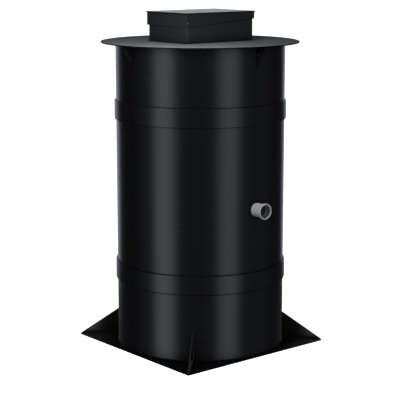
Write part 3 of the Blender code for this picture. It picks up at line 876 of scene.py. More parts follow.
# %% Top plate
RIM_STEPS = 240
HOLE_STEPS = 32
PLATE_EDGE = 0.0008
SLING_HOLE_RADIUS = 0.011
SLING_HOLE_ASIDE = 0.043
SLING_HOLE_CIRCLE = 0.723
NECK_THICKNESS = 0.008
OPENING_CORNER = 0.003
BRACKET_ANGLES = {"right": 0.0, "rear": 90.0, "left": 180.0, "front": 270.0}


def spun(x, y, angle):
    c, s = math.cos(math.radians(angle)), math.sin(math.radians(angle))
    return (x * c - y * s, x * s + y * c)


opening_x = neck_half_width - NECK_THICKNESS
opening = rectangle(-opening_x, neck_front + NECK_THICKNESS, opening_x, neck_rear - NECK_THICKNESS)
plate_outlines = [circle(rim_radius, RIM_STEPS), hole(rounded(opening, OPENING_CORNER))]
for angle in BRACKET_ANGLES.values():
    for aside in (-SLING_HOLE_ASIDE, SLING_HOLE_ASIDE):
        sling_hole = circle(SLING_HOLE_RADIUS, HOLE_STEPS, spun(SLING_HOLE_CIRCLE, aside, angle))
        plate_outlines.append(hole(sling_hole))
top_plate = cut_sheet("top_plate_sheet", plate_outlines, rim_top - rim_underside, PLATE_EDGE,
                      level_at((rim_top + rim_underside) / 2))
hand_over(top_plate, dusty_sheet, "tank", "black_polypropylene", "top_plate")
print("top plate", round(2 * rim_radius, 3), "m across, with", len(plate_outlines) - 1, "openings")

# %% [markdown]
# ## Lifting brackets
#
# The tank is craned into its pit by these four triangles. Each one is welded under the top plate and
# against the wall, so the pull of a sling goes into both, and its eye takes the hook. One bracket could
# be copied and turned in place by an Array modifier, but the four are separate pieces of the frame, so
# each is cut where it belongs.

# %% Lifting brackets
BRACKET_THICKNESS = 0.010
BRACKET_EDGE = 0.0006
BRACKET_NOSE = 0.006
BRACKET_CORNER = 0.0015
EYE_RADIUS = 0.021
EYE_STEPS = 48
EYE_OUT = 0.030                   # from the wall
EYE_DOWN = 0.064                  # from the top plate

bracket_low, bracket_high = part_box("lifting_bracket_right")
bracket_top, bracket_reach = bracket_high.z, bracket_high.x
bracket_height = bracket_top - bracket_low.z
bracket_corners = [(upright_start, 0.0), (upright_start, -bracket_height), (bracket_reach, -BRACKET_NOSE),
                   (bracket_reach, 0.0)]
bracket_outlines = [rounded(bracket_corners, BRACKET_CORNER),
                    hole(circle(EYE_RADIUS, EYE_STEPS, (wall_radius + EYE_OUT, -EYE_DOWN)))]
for side, angle in BRACKET_ANGLES.items():
    placing = turned_frame((0.0, 0.0, bracket_top), outward(angle), UP)
    node = f"lifting_bracket_{side}"
    bracket = cut_sheet(f"{node}_sheet", bracket_outlines, BRACKET_THICKNESS, BRACKET_EDGE, placing)
    hand_over(bracket, bracket_sheet, "tank", "black_polypropylene", node, mirrored=False)
print("brackets", round(bracket_height, 3), "m tall")

# %% [markdown]
# ## Hatch neck
#
# Four upright sheets stand round the hatch opening. Seen from above, the front and rear ones have outer
# corners rounded by 7 mm, and such a soft corner catches a thin upright line of light. They are cut sheet
# too, but lying flat and very thick: the outline is the wall seen from above, and the thickness is its
# height.

# %% Neck walls
NECK_CORNER = 0.007
NECK_INNER_CORNER = 0.0006
NECK_EDGE = 0.001


def upright(name, corners, node, edge):
    """A sheet that stands on its plan outline, as tall as its solid."""
    low, high = lowest(node).z, highest(node).z
    outline = rounded(corners, NECK_INNER_CORNER)
    return cut_sheet(name, [outline], high - low, edge, level_at((low + high) / 2))


def end_plan(outer_y, inner_y, half_width, corner):
    """Plan of a front or rear sheet, anticlockwise, with its two outer corners rounded."""
    x = half_width if outer_y > inner_y else -half_width
    return [(x, outer_y, corner), (-x, outer_y, corner), (-x, inner_y), (x, inner_y)]


for side, outer_y, inward in (("front", neck_front, 1), ("rear", neck_rear, -1)):
    plan = end_plan(outer_y, outer_y + inward * NECK_THICKNESS, neck_half_width, NECK_CORNER)
    wall = upright(f"neck_{side}_sheet", plan, f"neck_{side}_wall", NECK_EDGE)
    hand_over(wall, hatch_sheet, "tank", "black_polypropylene", f"neck_{side}_wall")
for side in ("left", "right"):
    node = f"neck_{side}_wall"
    low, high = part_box(node)
    wall = upright(f"neck_{side}_sheet", rectangle(low.x, low.y, high.x, high.y), node, NECK_EDGE)
    hand_over(wall, hatch_sheet, "tank", "black_polypropylene", node)
print("neck", round(2 * neck_half_width, 3), "by", round(neck_rear - neck_front, 3), "m")

# %% [markdown]
# ## The lid
#
# The lid is a flat plate with a skirt round it, deep at the front and shallow at the hinges. The side
# skirts run level for a hand's width and then rise to the rear. A hollow box would be quicker to draw,
# but the frame has five separate sheets, and each is cut to its own shape. A real lid of this kind is
# welded, and its corners are only broken, so they are rounded by just 1 mm. Everything here rides on the
# lid's own body and swings with it.

# %% Lid plate and skirts
SKIRT_THICKNESS = 0.004
SKIRT_EDGE = 0.0007
LID_EDGE = 0.0008
LID_CORNER = 0.001
SKIRT_CORNER = 0.001
SKIRT_LEVEL_LENGTH = 0.070
SCREW_HOLE_RADIUS = 0.0035
ALONG_Y = Vector((0.0, 1.0, 0.0))

lid_low, lid_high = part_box("lid_top_plate")
lid_outline = rounded(rectangle(lid_low.x, lid_low.y, lid_high.x, lid_high.y), LID_CORNER)
lid_plate = cut_sheet("lid_plate_sheet", [lid_outline], lid_top - lid_underside, LID_EDGE,
                      level_at((lid_top + lid_underside) / 2))
hand_over(lid_plate, flat_sheet, "lid", "black_polypropylene", "lid_top_plate")

skirt_side = highest("lid_front_skirt").x
skirt_front, skirt_rear = lowest("lid_front_skirt").y, highest("lid_rear_skirt").y
for side, outer_y, inward in (("front", skirt_front, 1), ("rear", skirt_rear, -1)):
    plan = end_plan(outer_y, outer_y + inward * SKIRT_THICKNESS, skirt_side, SKIRT_CORNER)
    skirt = upright(f"lid_{side}_skirt_sheet", plan, f"lid_{side}_skirt", SKIRT_EDGE)
    hand_over(skirt, hatch_sheet, "lid", "black_polypropylene", f"lid_{side}_skirt")

screw_low, screw_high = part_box("lid_screw_right")
screw_y, screw_z = (screw_low.y + screw_high.y) / 2, (screw_low.z + screw_high.z) / 2
side_low, side_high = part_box("lid_right_skirt")
rear_bottom = lowest("lid_rear_skirt").z
skirt_corners = [(side_low.y, side_low.z), (skirt_front + SKIRT_LEVEL_LENGTH, side_low.z),
                 (side_high.y, rear_bottom), (side_high.y, side_high.z), (side_low.y, side_high.z)]
for name, side in (("left", -1), ("right", 1)):
    placing = turned_frame((side * (skirt_side - SKIRT_THICKNESS / 2), 0.0, 0.0), ALONG_Y, UP)
    screw_hole = hole(circle(SCREW_HOLE_RADIUS, HOLE_STEPS, (screw_y, screw_z)))
    outlines = [rounded(skirt_corners, SKIRT_CORNER), screw_hole]
    skirt = cut_sheet(f"lid_{name}_skirt_sheet", outlines, SKIRT_THICKNESS, SKIRT_EDGE, placing)
    hand_over(skirt, hatch_sheet, "lid", "black_polypropylene", f"lid_{name}_skirt")
print("lid", round(lid_high.x - lid_low.x, 3), "by", round(lid_high.y - lid_low.y, 3), "m")

# %% [markdown]
# ## Lid screws
#
# One bright screw sits in each side skirt near the front corner. Its head is turned, with a soft crown,
# and its cross recess is cut with a Boolean. A bump could fake the cross from afar, but only a real
# recess has walls that stay dark from every side.

# %% Lid screws
HEAD_RADIUS, HEAD_RIM, HEAD_HEIGHT = 0.006, 0.0014, 0.004
CROWN_RADIUS, CROWN_HEIGHT = 0.0036, 0.0035
SHANK_RADIUS = 0.003
RECESS_LENGTH, RECESS_WIDTH, RECESS_DEPTH = 0.0062, 0.0012, 0.002
RECESS_TURN = 20.0                # degrees
CUTTER_TOP = 0.01                 # clear of the head
SCREW_STEPS = 32
SHARP_ANGLE = 35.0                # degrees


def recess_cutter(name, placing):
    long, short = RECESS_LENGTH / 2, RECESS_WIDTH / 2
    corners = []
    for x, y in ((1, 1), (-1, 1), (-1, -1), (1, -1)):
        arm = [(x * short, y * long), (x * short, y * short), (x * long, y * short)]
        corners += arm[::-1] if x * y > 0 else arm
    heights = (HEAD_HEIGHT - RECESS_DEPTH, CUTTER_TOP)
    points = [placing @ Vector((x, y, height)) for height in heights for x, y in corners]
    count = len(corners)
    faces = [tuple(reversed(range(count))), tuple(range(count, 2 * count))]
    faces += [(i, (i + 1) % count, count + (i + 1) % count, count + i) for i in range(count)]
    return make_piece(name, points, faces)


screw_corners = [(0.0, -SKIRT_THICKNESS, 0.0), (SHANK_RADIUS, -SKIRT_THICKNESS, 0.0003),
                 (SHANK_RADIUS, 0.0, 0.00005), (HEAD_RADIUS, 0.0, 0.0002), (HEAD_RADIUS, HEAD_RIM, 0.0006),
                 (CROWN_RADIUS, CROWN_HEIGHT, 0.002), (0.0, HEAD_HEIGHT, 0.0)]
for name, side in (("left", -1), ("right", 1)):
    seat = (side * (skirt_side + SEAT_GAP), screw_y, screw_z)
    placing = turned_frame(seat, ALONG_Y * side, UP)
    screw = turned(f"lid_screw_{name}_steel", rounded(screw_corners, 0.0), SCREW_STEPS, placing, worn=False)
    recess_placing = placing @ Matrix.Rotation(math.radians(RECESS_TURN), 4, "Z")
    cut_away(screw, recess_cutter("recess_cutter", recess_placing))
    screw.data.set_sharp_from_angle(angle=math.radians(SHARP_ANGLE))
    hand_over(screw, steel, "lid", "stainless_steel", f"lid_screw_{name}")
print("screws at height", round(screw_z, 3))

# %% [markdown]
# ## Hinges, pins and rivets
#
# At the rear, two plastic hinges carry the lid: a base on the neck, a leaf on the skirt beside it, and a
# steel pin through both. The photo hides them, so they have the plainest form that works. Each half is
# one thick cut sheet whose outline curls round the pin. Modelling the barrel and the leaf apart and
# joining them would leave a seam in what is really a single moulding.

# %% Hinges
BARREL = 0.008
BORE = 0.0045
BARREL_LENGTH = 0.024
BARREL_MIDDLE = 0.0125            # from the hinge's middle to the middle of each barrel
BARREL_STEPS = 8
HINGE_EDGE, HINGE_WEAR_MARGIN = 0.0006, 0.001
HINGE_CORNER = 0.001
FOOT_HEIGHT, FOOT_DEPTH = -0.054, 0.006       # the base's lower end, from the pin's axis, and how deep it is
SLOPE_END, SHOULDER = -0.00139, -0.004        # heights where the base meets its barrel, behind and in front
LEAF_BACK, LEAF_TOP = -0.003, 0.046           # the leaf's rear face and its end, from the pin's axis
PIN_RADIUS, PIN_HEAD_RADIUS, PIN_HEAD_LENGTH = 0.004, 0.0065, 0.003
PIN_STEPS = 32
RIVET_RADIUS, RIVET_HEIGHT, RIVET_SINK = 0.0042, 0.0018, 0.0002
RIVET_CROWN = 0.8                 # of the rivet's radius
RIVET_HEIGHTS = (0.019, 0.037)    # above the pin
RIVET_STEPS = 24

wall_face = neck_rear + SEAT_GAP - hinge_y
base_corners = [(wall_face, FOOT_HEIGHT), (wall_face + FOOT_DEPTH, FOOT_HEIGHT), (BARREL, SLOPE_END, BARREL),
                (BARREL, BARREL, BARREL), (-BARREL, BARREL, BARREL), (-BARREL, SHOULDER, 0.0005),
                (wall_face, SHOULDER)]
leaf_corners = [(-BARREL, LEAF_TOP), (-BARREL, -BARREL, BARREL), (BARREL, -BARREL, BARREL),
                (BARREL, BARREL, BARREL), (LEAF_BACK, BARREL, 0.001), (LEAF_BACK, LEAF_TOP)]
pin_half = (highest("hinge_pin_right").x - lowest("hinge_pin_right").x) / 2
head_inside = pin_half - PIN_HEAD_LENGTH
pin_corners = [(0.0, -pin_half, 0.0), (PIN_HEAD_RADIUS, -pin_half, 0.0012),
               (PIN_HEAD_RADIUS, -head_inside, 0.0002), (PIN_RADIUS, -head_inside, 0.0001)]
pin_corners += [(radius, -place, rounding) for radius, place, rounding in reversed(pin_corners)]
rivet_corners = [(0.0, -RIVET_SINK, 0.0), (RIVET_RADIUS, -RIVET_SINK, 0.0001),
                 (RIVET_RADIUS * RIVET_CROWN, RIVET_HEIGHT, 0.0015), (0.0, RIVET_HEIGHT, 0.0)]
rivet_outline = rounded(rivet_corners, 0.0)
bore = hole(circle(BORE, HOLE_STEPS))
for name, side in (("left", -1), ("right", 1)):
    pin_low, pin_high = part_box(f"hinge_pin_{name}")
    middle = (pin_low.x + pin_high.x) / 2
    halves = (("base", base_corners, side, "tank"), ("leaf", leaf_corners, -side, "lid"))
    for part, corners, aside, body in halves:
        placing = turned_frame((middle + aside * BARREL_MIDDLE, hinge_y, hinge_z), ALONG_Y, UP)
        outlines = [rounded(corners, HINGE_CORNER, BARREL_STEPS), bore]
        half = cut_sheet(f"hinge_{part}_{name}_moulding", outlines, BARREL_LENGTH, HINGE_EDGE, placing,
                         HINGE_WEAR_MARGIN)
        hand_over(half, wall_sheet, body, "black_polypropylene", f"hinge_{part}_{name}")
    across = turned_frame((middle, hinge_y, hinge_z), ALONG_Y, UP)
    pin = turned(f"hinge_pin_{name}_steel", rounded(pin_corners, 0.0), PIN_STEPS, across, worn=False)
    hand_over(pin, steel, "tank", "stainless_steel", f"hinge_pin_{name}")
    for row, above in enumerate(RIVET_HEIGHTS):
        place = (middle - side * BARREL_MIDDLE, hinge_y + LEAF_BACK, hinge_z + above)
        rearwards = turned_frame(place, UP, (1.0, 0.0, 0.0))
        rivet = turned(f"hinge_rivet_{name}_{row}", rivet_outline, RIVET_STEPS, rearwards, worn=False)
        hand_over(rivet, steel, "lid", "stainless_steel")
print("hinges turn about height", round(hinge_z, 4))

# %% [markdown]
# ## The drain pipe
#
# A short grey pipe goes through the wall. Its outer end widens into a socket, where the next pipe is
# pushed in, with a thicker rim over the groove for a rubber ring. A tube with a Solidify modifier would
# be as thick in its rim as in its body. Here inside and outside are one closed outline, so the pipe has
# its true thickness everywhere, and every lip is rounded.

# %% Outlet pipe
PIPE_RADIUS, PIPE_BORE = 0.055, 0.0518
SOCKET_RADIUS, SOCKET_BORE, SOCKET_DEPTH = 0.0582, 0.0557, 0.050
SOCKET_FLARE = 0.006
RIM_RADIUS, RIM_LENGTH = 0.064, 0.018
GROOVE_RADIUS, GROOVE_START, GROOVE_END = 0.0605, 0.016, 0.008

pipe_start, mouth = lowest("outlet_pipe").x, highest("outlet_pipe").x
socket_step, rim_start = mouth - SOCKET_DEPTH, mouth - RIM_LENGTH
pipe_corners = [(PIPE_BORE, pipe_start, 0.0006), (PIPE_RADIUS, pipe_start, 0.0006),
                (PIPE_RADIUS, socket_step - SOCKET_FLARE, 0.003), (SOCKET_RADIUS, socket_step, 0.003),
                (SOCKET_RADIUS, rim_start - SOCKET_FLARE, 0.003), (RIM_RADIUS, rim_start, 0.002),
                (RIM_RADIUS, mouth, 0.0018), (SOCKET_BORE, mouth, 0.0015),
                (SOCKET_BORE, mouth - GROOVE_END, 0.0005), (GROOVE_RADIUS, mouth - GROOVE_END, 0.0006),
                (GROOVE_RADIUS, mouth - GROOVE_START, 0.0006), (SOCKET_BORE, mouth - GROOVE_START, 0.0005),
                (SOCKET_BORE, socket_step, 0.0015), (PIPE_BORE, socket_step - SOCKET_FLARE / 2, 0.0015)]
outlet = turned("outlet_pipe_socket", rounded(pipe_corners, 0.0), PIPE_STEPS, TOWARDS_OUTLET, worn=False)
hand_over(outlet, pipe_plastic, "tank", "grey_polypropylene", "outlet_pipe", mirrored=False)
print("outlet pipe", round(mouth - pipe_start, 3), "m long, centre at", round(pipe_centre, 3))

# %% [markdown]
# ## Weld beads
#
# Plastic sheets are joined with a rod of the same plastic, melted into the corner between them. The bead
# is a small round fillet with slight ripples, where the welder's hand slowed or a new rod began. A
# straight extruded fillet would look like rubber edging, so each bead's section swells and shrinks a
# little along its way.
#
# A bead follows a run: a list of places, each with the two directions in which its legs lie. Runs round
# the wall, along the bands' edges, round the neck and round the pipe are closed. Those on gussets,
# brackets, seams and hinges are open and taper at both ends.
#
# Most beads are duller than the sheet. Two upright gusset welds, at opposite corners, are glossier and
# thicker, as if laid last. Beads, gussets, brackets, base plate and pipe are left out of mirror images,
# because the wall would otherwise show each of them a second time beside itself.

# %% Bead tools
BEAD_STEP = 0.003
BEAD_SINK = 0.0006                # how far a bead reaches into the sheets it joins
LEG = 0.005                       # leg of an ordinary fillet
RIPPLE_LENGTH, RIPPLE_DEPTH = 0.009, 0.05
RIPPLE_WANDER, WANDER_SCALE = 2.0, 30.0       # radians by which the ripples stray
SWELL_DEPTH, SWELL_SCALE = 0.12, 22.0
END_SIZE, END_GROWTH = 0.35, 0.3              # size at an open end, and growth with each step from it
SINK = -BEAD_SINK / LEG
FILLET = [(SINK, SINK), (1.0, SINK), (0.97, 0.16), (0.80, 0.48), (0.48, 0.80), (0.16, 0.97), (SINK, 1.0)]


def straight_run(start, end, leg_a, leg_b):
    start, end = Vector(start), Vector(end)
    steps = max(2, round((end - start).length / BEAD_STEP))
    return [(start.lerp(end, step / steps), Vector(leg_a), Vector(leg_b)) for step in range(steps + 1)]


def outline_run(outline, height, leg_b, bead_step=BEAD_STEP):
    """Along an outline in plan: the first leg points the way the outline faces."""
    run = []
    for (here, facing), (there, next_facing) in zip(outline, outline[1:] + outline[:1]):
        steps = max(1, round((there - here).length / bead_step))
        for step in range(steps):
            place = here.lerp(there, step / steps)
            leg_a = facing.lerp(next_facing, step / steps).normalized()
            run.append((Vector((*place, height)), Vector((*leg_a, 0.0)), Vector(leg_b)))
    return run


def bead_size(place, run_number, length, from_end, closed):
    """How much the section is swollen at one place of a run."""
    ripple = math.sin(math.tau * length / RIPPLE_LENGTH + RIPPLE_WANDER * noise.noise(place * WANDER_SCALE))
    swell = noise.noise(place * SWELL_SCALE + Vector((run_number, 0.0, 0.0)))
    size = 1.0 + RIPPLE_DEPTH * ripple + SWELL_DEPTH * swell
    return size if closed else size * min(1.0, END_SIZE + END_GROWTH * from_end)


def lay_beads(name, runs, section, size, closed, material=weld_plastic):
    points, faces = [], []
    count = len(section)
    for run_number, run in enumerate(runs):
        first, stations, length = len(points), len(run), 0.0
        for station, (place, leg_a, leg_b) in enumerate(run):
            if station:
                length += (place - run[station - 1][0]).length
            from_end = min(station, stations - 1 - station)
            swollen = size * bead_size(place, run_number, length, from_end, closed)
            points += [place + leg_a * a * swollen + leg_b * b * swollen for a, b in section]
        forward = run[0][1].cross(run[0][2]).dot(run[1][0] - run[0][0]) > 0
        for station in range(stations if closed else stations - 1):
            near, far = first + station * count, first + (station + 1) % stations * count
            for i in range(count):
                j = (i + 1) % count
                face = (near + i, near + j, far + j, far + i)
                faces.append(face if forward else face[::-1])
        if not closed:
            cap, last = range(first, first + count), first + (stations - 1) * count
            ends = [tuple(reversed(cap)), tuple(range(last, last + count))]
            faces += ends if forward else [end[::-1] for end in ends]
    bead = make_piece(name, points, faces)
    return hand_over(bead, material, "tank", "black_polypropylene", mirrored=False)


print("bead section has", len(FILLET), "points")

# %% [markdown]
# ## Beads that close round the tank
#
# The wall's foot and head, the edges of both bands and the hatch neck are welded all round, since they
# have to be tight. Such a bead needs no ends: its run comes back to where it began. A curve with a bevel
# could draw them too, but Blender then decides how the section turns along the way. Here the outline's
# own directions decide.

# %% Closed beads
DOWN = -UP
NECK_LEG = 0.007
BAND_LEGS = {"lower": (0.005, 0.009), "upper": (0.005, 0.005)}    # above and below each band
BAND_BEAD_STEP = 0.006
WALL_RUN_STEPS = 360

beads = []
round_wall = circle(wall_radius, WALL_RUN_STEPS)
neck_plan = rounded(rectangle(-neck_half_width, neck_front, neck_half_width, neck_rear), NECK_CORNER)
closed_beads = [("weld_wall_to_base", outline_run(round_wall, base_top, UP), LEG),
                ("weld_wall_to_top_plate", outline_run(round_wall, rim_underside, DOWN), LEG)]
for level, legs in BAND_LEGS.items():
    low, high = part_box(f"{level}_band_blank_half")
    for edge, height, upright_leg, leg in (("top", high.z, UP, legs[0]), ("foot", low.z, DOWN, legs[1])):
        run = outline_run(round_wall, height, upright_leg, BAND_BEAD_STEP)
        closed_beads.append((f"weld_{level}_band_{edge}", run, leg))
closed_beads.append(("weld_neck_to_top_plate", outline_run(neck_plan, rim_top, UP), NECK_LEG))
for name, run, leg in closed_beads:
    beads.append(lay_beads(name, [run], FILLET, leg, True))
print("closed beads:", len(beads))

# %% [markdown]
# ## Beads on gussets and brackets
#
# These beads are open: they start and stop, and are thinner there. Each plate has a bead along both of
# its faces, so one helper finds the line where a face of an upright plate meets the round wall. Placing
# that line at the wall's full radius would leave the bead a hair off the wall, since the face stands
# aside of the plate's middle.

# %% Beads on gussets and brackets
THIN_LEG = 0.0025
GUSSET_LEG = 0.005
FRESH_WELDS = ("front_right", "rear_left")
FOOT_RUN_INSET = 0.008            # from the wall and from the gusset's nose
BRACKET_RUN_START, BRACKET_NOSE_INSET = 0.006, 0.004      # from the wall, and from the nose
RUN_END_INSET = 0.004             # short of a plate's upper end
BRACKET_LOW_INSET = 0.008         # from the bracket's lower tip


def plate_face(angle, side, thickness):
    """One face of an upright plate: the ways out and aside, its offset, and its line on the wall."""
    out, aside = outward(angle), outward(angle + 90.0) * side
    offset = aside * thickness / 2
    return out, aside, offset, out * math.sqrt(wall_radius ** 2 - (thickness / 2) ** 2) + offset


for corner, angle in GUSSET_ANGLES.items():
    foot_runs, upright_runs = [], []
    for side in (-1, 1):
        out, aside, offset, wall_line = plate_face(angle, side, GUSSET_THICKNESS)
        foot_start = out * (wall_radius + FOOT_RUN_INSET) + offset + UP * base_top
        foot_end = out * (gusset_reach - FOOT_RUN_INSET) + offset + UP * base_top
        foot_runs.append(straight_run(foot_start, foot_end, aside, UP))
        low, high = wall_line + UP * (base_top + LEG), wall_line + UP * (gusset_height - RUN_END_INSET)
        upright_runs.append(straight_run(low, high, aside, out))
    beads.append(lay_beads(f"weld_gusset_{corner}_foot", foot_runs, FILLET, THIN_LEG, False))
    finish, leg = (fresh_weld, GUSSET_LEG) if corner in FRESH_WELDS else (weld_plastic, THIN_LEG)
    beads.append(lay_beads(f"weld_gusset_{corner}_upright", upright_runs, FILLET, leg, False, finish))

for side_name, angle in BRACKET_ANGLES.items():
    runs = []
    for side in (-1, 1):
        out, aside, offset, wall_line = plate_face(angle, side, BRACKET_THICKNESS)
        low = wall_line + UP * (bracket_top - bracket_height + BRACKET_LOW_INSET)
        high = wall_line + UP * (rim_underside - RUN_END_INSET)
        runs.append(straight_run(low, high, aside, out))
        under = offset + UP * rim_underside
        start = out * (wall_radius + BRACKET_RUN_START) + under
        end = out * (bracket_reach - BRACKET_NOSE_INSET) + under
        runs.append(straight_run(start, end, aside, DOWN))
    beads.append(lay_beads(f"weld_bracket_{side_name}", runs, FILLET, THIN_LEG, False))
print("beads so far:", len(beads))

# %% [markdown]
# ## Beads on the pipe, the seams and the hinges
#
# The pipe is welded in all round. Its run follows the line in which two round bodies meet, so each place
# has legs of its own: one along the wall and one along the pipe. The upright seams have no corner to
# fill. They get a low strip instead of a fillet, in separate lengths on the wall and on the bands.

# %% Beads on the pipe, the seams and the hinges
SEAM_STRIP = [(-0.8, -0.1), (0.8, -0.1), (0.66, 0.10), (0.34, 0.25), (0.0, 0.31), (-0.34, 0.25),
              (-0.66, 0.10)]      # in units of the seam's size, aside and out
SEAM_SIZE = 0.008
SEAM_END_GAP = 0.002
PIPE_RUN_STEPS = 120
HINGE_LEG = 0.003
HINGE_RUN_INSET, HINGE_RUN_TOP = 0.002, 0.006     # from the base's foot, and from the pin's axis

pipe_run = []
for step in range(PIPE_RUN_STEPS):
    turn = math.tau * step / PIPE_RUN_STEPS
    aside, above = PIPE_RADIUS * math.cos(turn), PIPE_RADIUS * math.sin(turn)
    place = Vector((math.sqrt(wall_radius ** 2 - aside ** 2), aside, pipe_centre + above))
    along_wall = Vector((0.0, math.cos(turn), math.sin(turn)))
    wall_normal = Vector((place.x, place.y, 0.0)).normalized()
    along_wall = (along_wall - wall_normal * along_wall.dot(wall_normal)).normalized()
    pipe_run.append((place, along_wall, Vector((1.0, 0.0, 0.0))))
beads.append(lay_beads("weld_pipe_to_wall", [pipe_run], FILLET, LEG, True))

lower_band, upper_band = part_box("lower_band_blank_half"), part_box("upper_band_blank_half")
seam_spans = [(wall_radius, gusset_foot + gusset_height + SEAM_END_GAP, lower_band[0].z),
              (wall_radius, lower_band[1].z, upper_band[0].z),
              (wall_radius, upper_band[1].z, rim_underside - LEG)]
for low, high in (lower_band, upper_band):
    seam_spans.append((band_radius, low.z + SEAM_END_GAP, high.z - SEAM_END_GAP))
seam_runs = []
for angle in (SEAM_ANGLE, SEAM_ANGLE + 180.0):
    out, aside = outward(angle), outward(angle + 90.0)
    for radius, low, high in seam_spans:
        seam_runs.append(straight_run(out * radius + UP * low, out * radius + UP * high, aside, out))
beads.append(lay_beads("weld_upright_seams", seam_runs, SEAM_STRIP, SEAM_SIZE, False))

hinge_runs = []
for node in ("hinge_base_left", "hinge_base_right"):
    low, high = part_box(node)
    for x, side in ((low.x, -1.0), (high.x, 1.0)):
        start, end = (x, neck_rear, low.z + HINGE_RUN_INSET), (x, neck_rear, hinge_z - HINGE_RUN_TOP)
        hinge_runs.append(straight_run(start, end, (side, 0.0, 0.0), ALONG_Y))
beads.append(lay_beads("weld_hinge_bases", hinge_runs, FILLET, HINGE_LEG, False))
print("weld beads:", len(beads), "pieces,", sum(len(bead.data.polygons) for bead in beads), "faces")

# %% [markdown]
# ## Painted light
#
# The tank stands in a white studio. Black plastic shows hardly anything of itself, so the light is drawn
# for its reflections: one tall soft panel square to the front, one square to the right side, a broad glow
# behind the tank that lies on its level faces and fades low down, and a very faint one on the camera's
# side. Lamps could stand there, but panels painted into the world are even from top to bottom, cost no
# time, and never show in the picture. The camera itself sees plain white.
#
# Light from the floor is painted in too, but only for diffuse rays: it lifts dull faces that look down or
# sideways, and no bright floor is mirrored in the glossy wall.

# %% Painted light
LIGHT_TINT = (0.937, 1.0, 1.104)
# azimuth, half width that is lit fully and half width where the light ends, in degrees, and strength
PANELS = [(-89.7, 3.0, 19.0, 1.60), (-0.7, 3.0, 19.0, 1.15)]
BACK_GLOW = (144.9, 18.9, 35.9, 0.70)
FRONT_GLOW = (-32.0, 85.0, 112.0, 0.09)
AMBIENT = 0.035
# every span below is in sines of the elevation
PANEL_FOOT = (-0.57, -0.42)       # the panels come up between these
PANEL_HEAD = (0.70, 0.95)         # and end between these
GLOW_FOOT = (-0.252, -0.232)
GLOW_HORIZON = (-0.10, 0.05)      # the glow behind changes to its upper strength
GLOW_ABOVE_HORIZON = 0.78
ZENITH_SPAN, ZENITH = (0.55, 1.0), 0.50
FLOOR_SPAN, FLOOR_GLOW = (-0.80, -0.45), 2.00     # light thrown up by the studio's floor
POLE_GUARD = 0.0001               # no division by zero straight up and down


def panel_mask(tree, x, y, level_length, azimuth, inner, outer):
    turn = math.radians(azimuth)
    along = add_up(tree, multiply(tree, x, math.cos(turn)), multiply(tree, y, math.sin(turn)))
    share = math_node(tree, "DIVIDE", along, level_length)
    return smooth_range(tree, share, math.cos(math.radians(outer)), math.cos(math.radians(inner)))


def painted_strength(tree, diffuse_ray):
    """How bright the world is in each direction."""
    x, y, z = add_node(tree, "ShaderNodeSeparateXYZ", Vector=coordinates(tree, "Generated")).outputs
    squares = add_up(tree, multiply(tree, x, x), multiply(tree, y, y))
    level_length = math_node(tree, "MAXIMUM", math_node(tree, "SQRT", squares), POLE_GUARD)
    height = multiply(tree, smooth_range(tree, z, *PANEL_FOOT), smooth_range(tree, z, *PANEL_HEAD, 1.0, 0.0))
    from_floor = smooth_range(tree, z, *FLOOR_SPAN, FLOOR_GLOW, 0.0)
    strength = add_up(tree, smooth_range(tree, z, *ZENITH_SPAN, 0.0, ZENITH), AMBIENT,
                      multiply(tree, from_floor, diffuse_ray))
    for panel in (*PANELS, BACK_GLOW, FRONT_GLOW):
        azimuth, inner, outer, power = panel
        mask = multiply(tree, panel_mask(tree, x, y, level_length, azimuth, inner, outer), height)
        if panel is BACK_GLOW:
            power = smooth_range(tree, z, *GLOW_HORIZON, power, GLOW_ABOVE_HORIZON)
            mask = multiply(tree, mask, smooth_range(tree, z, *GLOW_FOOT))
        strength = add_up(tree, strength, multiply(tree, mask, power))
    return strength


def make_world():
    world = bpy.data.worlds.new("white_studio")
    world.use_nodes = True
    tree = world.node_tree
    tree.nodes.clear()
    path = add_node(tree, "ShaderNodeLightPath").outputs
    strength = painted_strength(tree, path["Is Diffuse Ray"])
    light = add_node(tree, "ShaderNodeBackground", Color=(*LIGHT_TINT, 1.0), Strength=strength)
    white = add_node(tree, "ShaderNodeBackground", Color=(1.0, 1.0, 1.0, 1.0), Strength=1.0)
    choice = add_node(tree, "ShaderNodeMixShader", Fac=path["Is Camera Ray"])
    feed(tree, choice.inputs[1], light.outputs[0])
    feed(tree, choice.inputs[2], white.outputs[0])
    out = add_node(tree, "ShaderNodeOutputWorld")
    feed(tree, out.inputs["Surface"], choice.outputs[0])
    return world


bpy.context.scene.world = make_world()
bpy.context.scene.view_settings.view_transform = "Standard"
print("world:", bpy.context.scene.world.name, "with", len(bpy.context.scene.world.node_tree.nodes), "nodes")

# %% [markdown]
# ## The floor
#
# The floor is only there for the camera. A shadow catcher would leave a clear shadow of the tank, where a
# white studio shows hardly any. So this floor has a faint light of its own, which keeps it nearly white,
# and just a breath of shadow is left round the base plate.

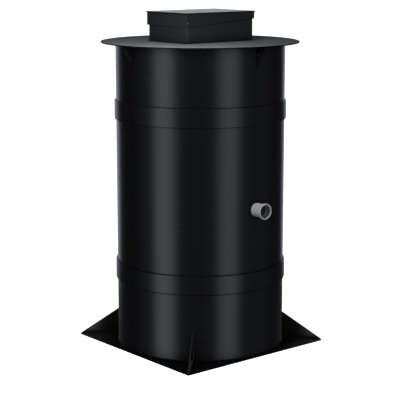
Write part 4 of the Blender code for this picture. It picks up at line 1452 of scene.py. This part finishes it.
# %% Floor
FLOOR_HALF = 150.0                # metres, so that its edge is out of sight
FLOOR_COLOUR = (0.85, 0.85, 0.85, 1.0)
FLOOR_LIGHT = 0.88


def make_floor():
    corners = [(x, y, 0.0) for x, y in rectangle(-FLOOR_HALF, -FLOOR_HALF, FLOOR_HALF, FLOOR_HALF)]
    floor = make_piece("studio_floor", corners, [(0, 1, 2, 3)])
    material, _, shader = new_material("pale_floor")
    settings = {"Base Color": FLOOR_COLOUR, "Roughness": 1.0, "Specular IOR Level": 0.0,
                "Emission Color": (1.0, 1.0, 1.0, 1.0), "Emission Strength": FLOOR_LIGHT}
    for name, value in settings.items():
        shader.inputs[name].default_value = value
    floor.data.materials.append(material)
    floor.visible_diffuse = floor.visible_glossy = floor.visible_shadow = False
    return floor


floor = make_floor()
print("floor:", floor.name, round(2 * FLOOR_HALF), "m wide")

# %% [markdown]
# ## A lamp for the hatch
#
# One real lamp stands a little above the hatch, in front of it and to the right. It parts the hatch's
# faces, which the painted light leaves too much alike. A brighter panel would do that too, but it would
# change the whole wall. The lamp is left out of reflections, since it would show there as a spot.

# %% Hatch lamp
HATCH_LAMP_PLACE = (1.00, -1.39, 2.95)
HATCH_LAMP_AIM = (0.1, -0.1, 2.6)
HATCH_LAMP_SIZE = 0.6
HATCH_LAMP_POWER = 120.0


def make_hatch_lamp():
    lamp = bpy.data.objects.new("hatch_lamp", bpy.data.lights.new("hatch_lamp", "AREA"))
    lamp.data.shape = "DISK"
    lamp.data.size = HATCH_LAMP_SIZE
    lamp.data.energy = HATCH_LAMP_POWER
    lamp.data.color = [channel / max(LIGHT_TINT) for channel in LIGHT_TINT]
    lamp.location = HATCH_LAMP_PLACE
    backwards = Vector(HATCH_LAMP_PLACE) - Vector(HATCH_LAMP_AIM)
    lamp.rotation_euler = backwards.to_track_quat("Z", "Y").to_euler()
    lamp.visible_glossy = lamp.visible_camera = False
    bpy.context.collection.objects.link(lamp)
    return lamp


hatch_lamp = make_hatch_lamp()
print("lamp:", hatch_lamp.name, "of", hatch_lamp.data.energy, "W")
